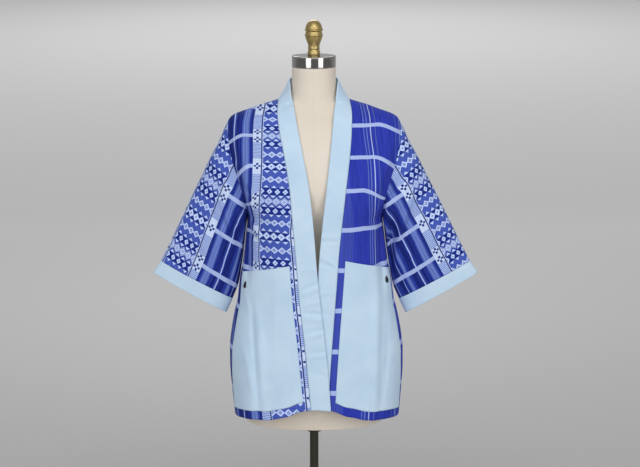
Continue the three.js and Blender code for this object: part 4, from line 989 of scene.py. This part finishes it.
def smooth_line(points, wanted):
    """A smooth curve through stations, read at wanted distances along its first column."""
    step = np.linalg.norm(np.diff(points.mean(1), axis=0), axis=1)
    at = np.concatenate([[0], np.cumsum(step)])
    tangent = np.gradient(points, at, axis=0)
    wanted = wanted * at[-1]
    i = np.clip(np.searchsorted(at, wanted, side="right") - 1, 0, len(at) - 2)
    width = (at[i + 1] - at[i])[:, None, None]
    s = ((wanted - at[i]) / (at[i + 1] - at[i]))[:, None, None]
    p0, p1, m0, m1 = points[i], points[i + 1], tangent[i] * width, tangent[i + 1] * width
    return ((2 * s ** 3 - 3 * s ** 2 + 1) * p0 + (s ** 3 - 2 * s ** 2 + s) * m0
            + (-2 * s ** 3 + 3 * s ** 2) * p1 + (s ** 3 - s ** 2) * m1), at[-1]


def band_normals(grid):
    """The band's normals, which face forwards near the right front's hem."""
    normals = grid_normals(grid, np.array([0, -1.0, 0]))
    return -normals if normals[3, BAND_COLUMNS // 2, 1] > 0 else normals


line, band_length = smooth_line(stations, np.linspace(0, 1, BAND_ROWS))
across = np.linspace(0, 1, BAND_COLUMNS)
weights = np.stack([
    (1 - across) * (1 - 2 * across), 4 * across * (1 - across), across * (2 * across - 1)])
grid = np.einsum("kc,rkd->rcd", weights, line)
normals = band_normals(grid)
band_width = np.linalg.norm(np.diff(grid, axis=1), axis=-1).sum(1).mean()
along = np.linspace(0, band_length, BAND_ROWS)[:, None]
# The small hand creases across the band: where each crosses the seam and the free
# edge, in millimetres from the right front's hem, its half width and its height.
BAND_CREASES = (
    (96, 84, 5, -0.8), (127, 138, 5, 0.9), (139, 147, 4, -0.9), (176, 192, 6, 1.1),
    (188, 201, 4, -1.1), (232, 222, 6, 1.0), (244, 236, 4, -1.1), (259, 268, 5, 0.8),
    (284, 300, 6, 1.2), (296, 311, 4, -1.3), (352, 344, 7, 0.6), (437, 452, 9, 0.5),
    (560, 548, 12, -0.5), (650, 668, 12, 0.6), (742, 752, 9, -0.8), (768, 786, 8, 0.8),
    (846, 850, 7, 0.8), (874, 872, 7, -0.8), (942, 930, 8, 0.7), (968, 954, 9, -0.8),
    (1060, 1072, 12, 0.5), (1170, 1160, 12, -0.5), (1294, 1282, 9, 0.5), (1392, 1404, 6, 0.8),
    (1405, 1415, 4, -0.9), (1462, 1450, 6, 0.8), (1474, 1463, 4, -1.0), (1530, 1541, 5, 0.8),
    (1588, 1580, 6, -0.8), (1640, 1650, 5, 0.7))
CREASE_DEPTH = 1.7
crease = np.zeros(grid.shape[:2])
for at_seam, at_edge, half_width, height in BAND_CREASES:
    middle = at_seam + (at_edge - at_seam) * across[None, :]
    hump = np.exp(-((along - middle) / half_width) ** 2) * ease(across, 0, 0.3)
    crease = crease + CREASE_DEPTH * height * hump
grid = grid + normals * crease[..., None]
normals = band_normals(grid)
flat = np.stack(np.broadcast_arrays(across[None, :] * band_width, along), -1)
piece = shell(
    "neckband_cloth", grid, normals, BAND_THICK, flat, False, poplin, "plain_cotton", "neckband")

# ---------- Pockets ----------
# Two large patches of the poplin, sewn on at the sides and bottom. Their open
# tops stand off the fronts a little.

# The pockets' top and bottom levels on the fronts, and their distance from the band.
POCKET_TOP, POCKET_BOTTOM, FROM_BAND = 0.47, 0.97, 17
# Left bare beside each pocket: at its top, at its bottom and further halfway down.
BESIDE_POCKET, BESIDE_HALFWAY = {-1: (40, 60), 1: (26, 62)}, 20
# The heights of the straight top edge at its inner and its outer corner.
TOP_EDGE = {-1: (976, 943), 1: (986.5, 950)}
# Their gap off the fronts, and how far more the middle of the top stands off.
POCKET_THICK, POCKET_LONG, POCKET_GAP, STANDS_OFF = 1.1, 365, 0.5, 2.5
POCKET_ROWS, POCKET_COLUMNS = 110, 72
down = np.linspace(0, 1, POCKET_ROWS)
share = np.linspace(0, 1, POCKET_COLUMNS)[None, :]
pocket_faces = {}
for name, side in (("right", -1), ("left", 1)):
    lines = front_lines(side, POCKET_TOP + (POCKET_BOTTOM - POCKET_TOP) * down)
    beside_top, beside_bottom = BESIDE_POCKET[side]
    beside = beside_top + (beside_bottom - beside_top) * down
    beside = beside + BESIDE_HALFWAY * np.sin(np.pi * down)
    grid, along = even_rows(lines, [FROM_BAND] * POCKET_ROWS, beside, POCKET_COLUMNS)
    # Each column starts where it meets the top edge.
    inner_up, outer_up = TOP_EDGE[side]
    edge_height = inner_up + (outer_up - inner_up) * share[0]
    starts = [np.interp(-height, -column[:, 2], down)
              for height, column in zip(edge_height, grid.transpose(1, 0, 2))]
    grid = np.stack([
        np.stack([np.interp(top + (1 - top) * down, down, column[:, k]) for k in range(3)], -1)
        for top, column in zip(starts, grid.transpose(1, 0, 2))], 1)
    normals = grid_normals(grid, np.array([0, -1.0, 0]))
    off = POCKET_GAP + POCKET_THICK + STANDS_OFF * np.sin(share * np.pi) * (1 - down[:, None])
    outer = grid + normals * off[..., None]
    pocket_faces[name] = outer, normals
    flat = np.stack(np.broadcast_arrays(along, down[:, None] * POCKET_LONG), -1)
    piece = shell(
        f"pocket_{name}_cloth", outer, normals, POCKET_THICK, flat, False, poplin, "plain_cotton",
        f"pocket_{name}")

# ---------- Pocket studs ----------
# A small domed teardrop of moulded resin is sewn on near each pocket's top outer
# corner. It is nearly black and has a soft gloss.

STUD_HALF_WIDE, STUD_HALF_LONG, STUD_HIGH, STUD_GAP, STUD_TAPER = 5, 8.6, 2.5, 0.5, 0.35
gloss_resin, tree = new_finish("dark_glossy_resin", Roughness=0.38, Specular_IOR_Level=0.35)
place = add(tree, "TexCoord").outputs["Object"]
fleck = add(tree, "TexNoise", place, named={"Scale": 300, "Detail": 2})
add(tree, "ValToRGB", fleck, stops=[(0.35, "#0b0c14"), (0.7, "#161827")], to="Base Color")
for name, side in (("right", -1), ("left", 1)):
    lowest, highest = (np.array(corner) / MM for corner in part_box(f"pocket_stud_{name}"))
    middle = (lowest + highest) / 2
    grid, normals = pocket_faces[name]
    nearest = np.argmin(np.linalg.norm(grid - middle, axis=-1))
    row, column = np.unravel_index(nearest, grid.shape[:2])
    out = normals[row, column]
    up = grid[row - 4, column] - grid[row + 4, column]
    up = up / np.linalg.norm(up)
    sideways = np.cross(up, out)
    seat = grid[row, column] + out * STUD_GAP
    angle = np.linspace(0, 2 * np.pi, 28, endpoint=False)
    half_wide = STUD_HALF_WIDE * (1 - STUD_TAPER * np.sin(angle)) * np.cos(angle)
    half_long = STUD_HALF_LONG * np.sin(angle)
    rings = []
    for tilt in np.linspace(0, 0.47 * np.pi, 9):
        rings.append(seat + out * STUD_HIGH * math.sin(tilt)
                     + np.outer(half_wide * math.cos(tilt), sideways)
                     + np.outer(half_long * math.cos(tilt), up))
    make_piece(
        f"stud_{name}", *closed_stack(np.stack(rings)), gloss_resin, "stud", f"pocket_stud_{name}")

# ---------- Studio ----------
# A plain matt floor that runs far back. Its colour is painted darker near the stand and paler with
# distance, as a painted light falloff. Large soft lights stand in front, above and behind, and one
# washes the far floor.

floor_mesh = bpy.data.meshes.new("studio_floor")
FLOOR_HALF = 60
corners = [(x * FLOOR_HALF, y * FLOOR_HALF, 0) for x, y in ((-1, -1), (1, -1), (1, 1), (-1, 1))]
floor_mesh.from_pydata(corners, [], [(0, 1, 2, 3)])
floor = bpy.data.objects.new("studio_floor", floor_mesh)
bpy.context.scene.collection.objects.link(floor)
falloff_painted_floor, tree = new_finish("matt_grey_floor_with_painted_falloff", Roughness=0.95)
split = add(tree, "SeparateXYZ", add(tree, "TexCoord").outputs["Object"])
# Painted light falloff: the floor's colour is painted darker near the stand and paler far back.
back = add(tree, "MapRange", split.outputs[1], 0.8, 16.0)
add(tree, "ValToRGB", back, to="Base Color",
    stops=[(0, "#b8b8b7"), (0.27, "#efefef"), (1, "#f7f7f7")])
floor_mesh.materials.append(falloff_painted_floor)

world = bpy.data.worlds.new("soft_studio")
world.use_nodes = True
background = world.node_tree.nodes["Background"]
background.inputs["Color"].default_value = linear("#f4f4f6")
background.inputs["Strength"].default_value = 0.44
bpy.context.scene.world = world
for name, where, aim, size, power in (
        ("softbox_left", (-1.9, -3.6, 1.75), (0, 0, 1.05), (1.9, 2.7), 42),
        ("softbox_right", (2.5, -3.4, 1.75), (0, 0, 1.05), (1.9, 2.7), 45),
        ("softbox_above", (0.2, -2.6, 3.6), (0, 0, 1.1), (2.2, 1.2), 35),
        ("softbox_behind", (-0.4, 3.2, 3.3), (0, 0, 1.0), (2.4, 1.4), 30),
        ("backdrop_wash", (0, 17, 9), (0, 14, 0), (5, 14), 370)):
    lamp = bpy.data.lights.new(name, "AREA")
    lamp.shape, lamp.size, lamp.size_y, lamp.energy = "RECTANGLE", *size, power
    light = bpy.data.objects.new(name, lamp)
    light.location = where
    light.rotation_euler = (Vector(aim) - Vector(where)).to_track_quat("-Z", "Y").to_euler()
    bpy.context.scene.collection.objects.link(light)

bpy.context.scene.view_settings.view_transform = "Standard"
camera_data = bpy.data.cameras.new("camera")
camera_data.sensor_width, camera_data.lens = 36, 90
camera = bpy.data.objects.new("camera", camera_data)
camera.location = (0.0147, -3.8343, 1.842)
camera.rotation_euler = (math.radians(78), 0, 0)
bpy.context.scene.collection.objects.link(camera)
bpy.context.scene.camera = camera
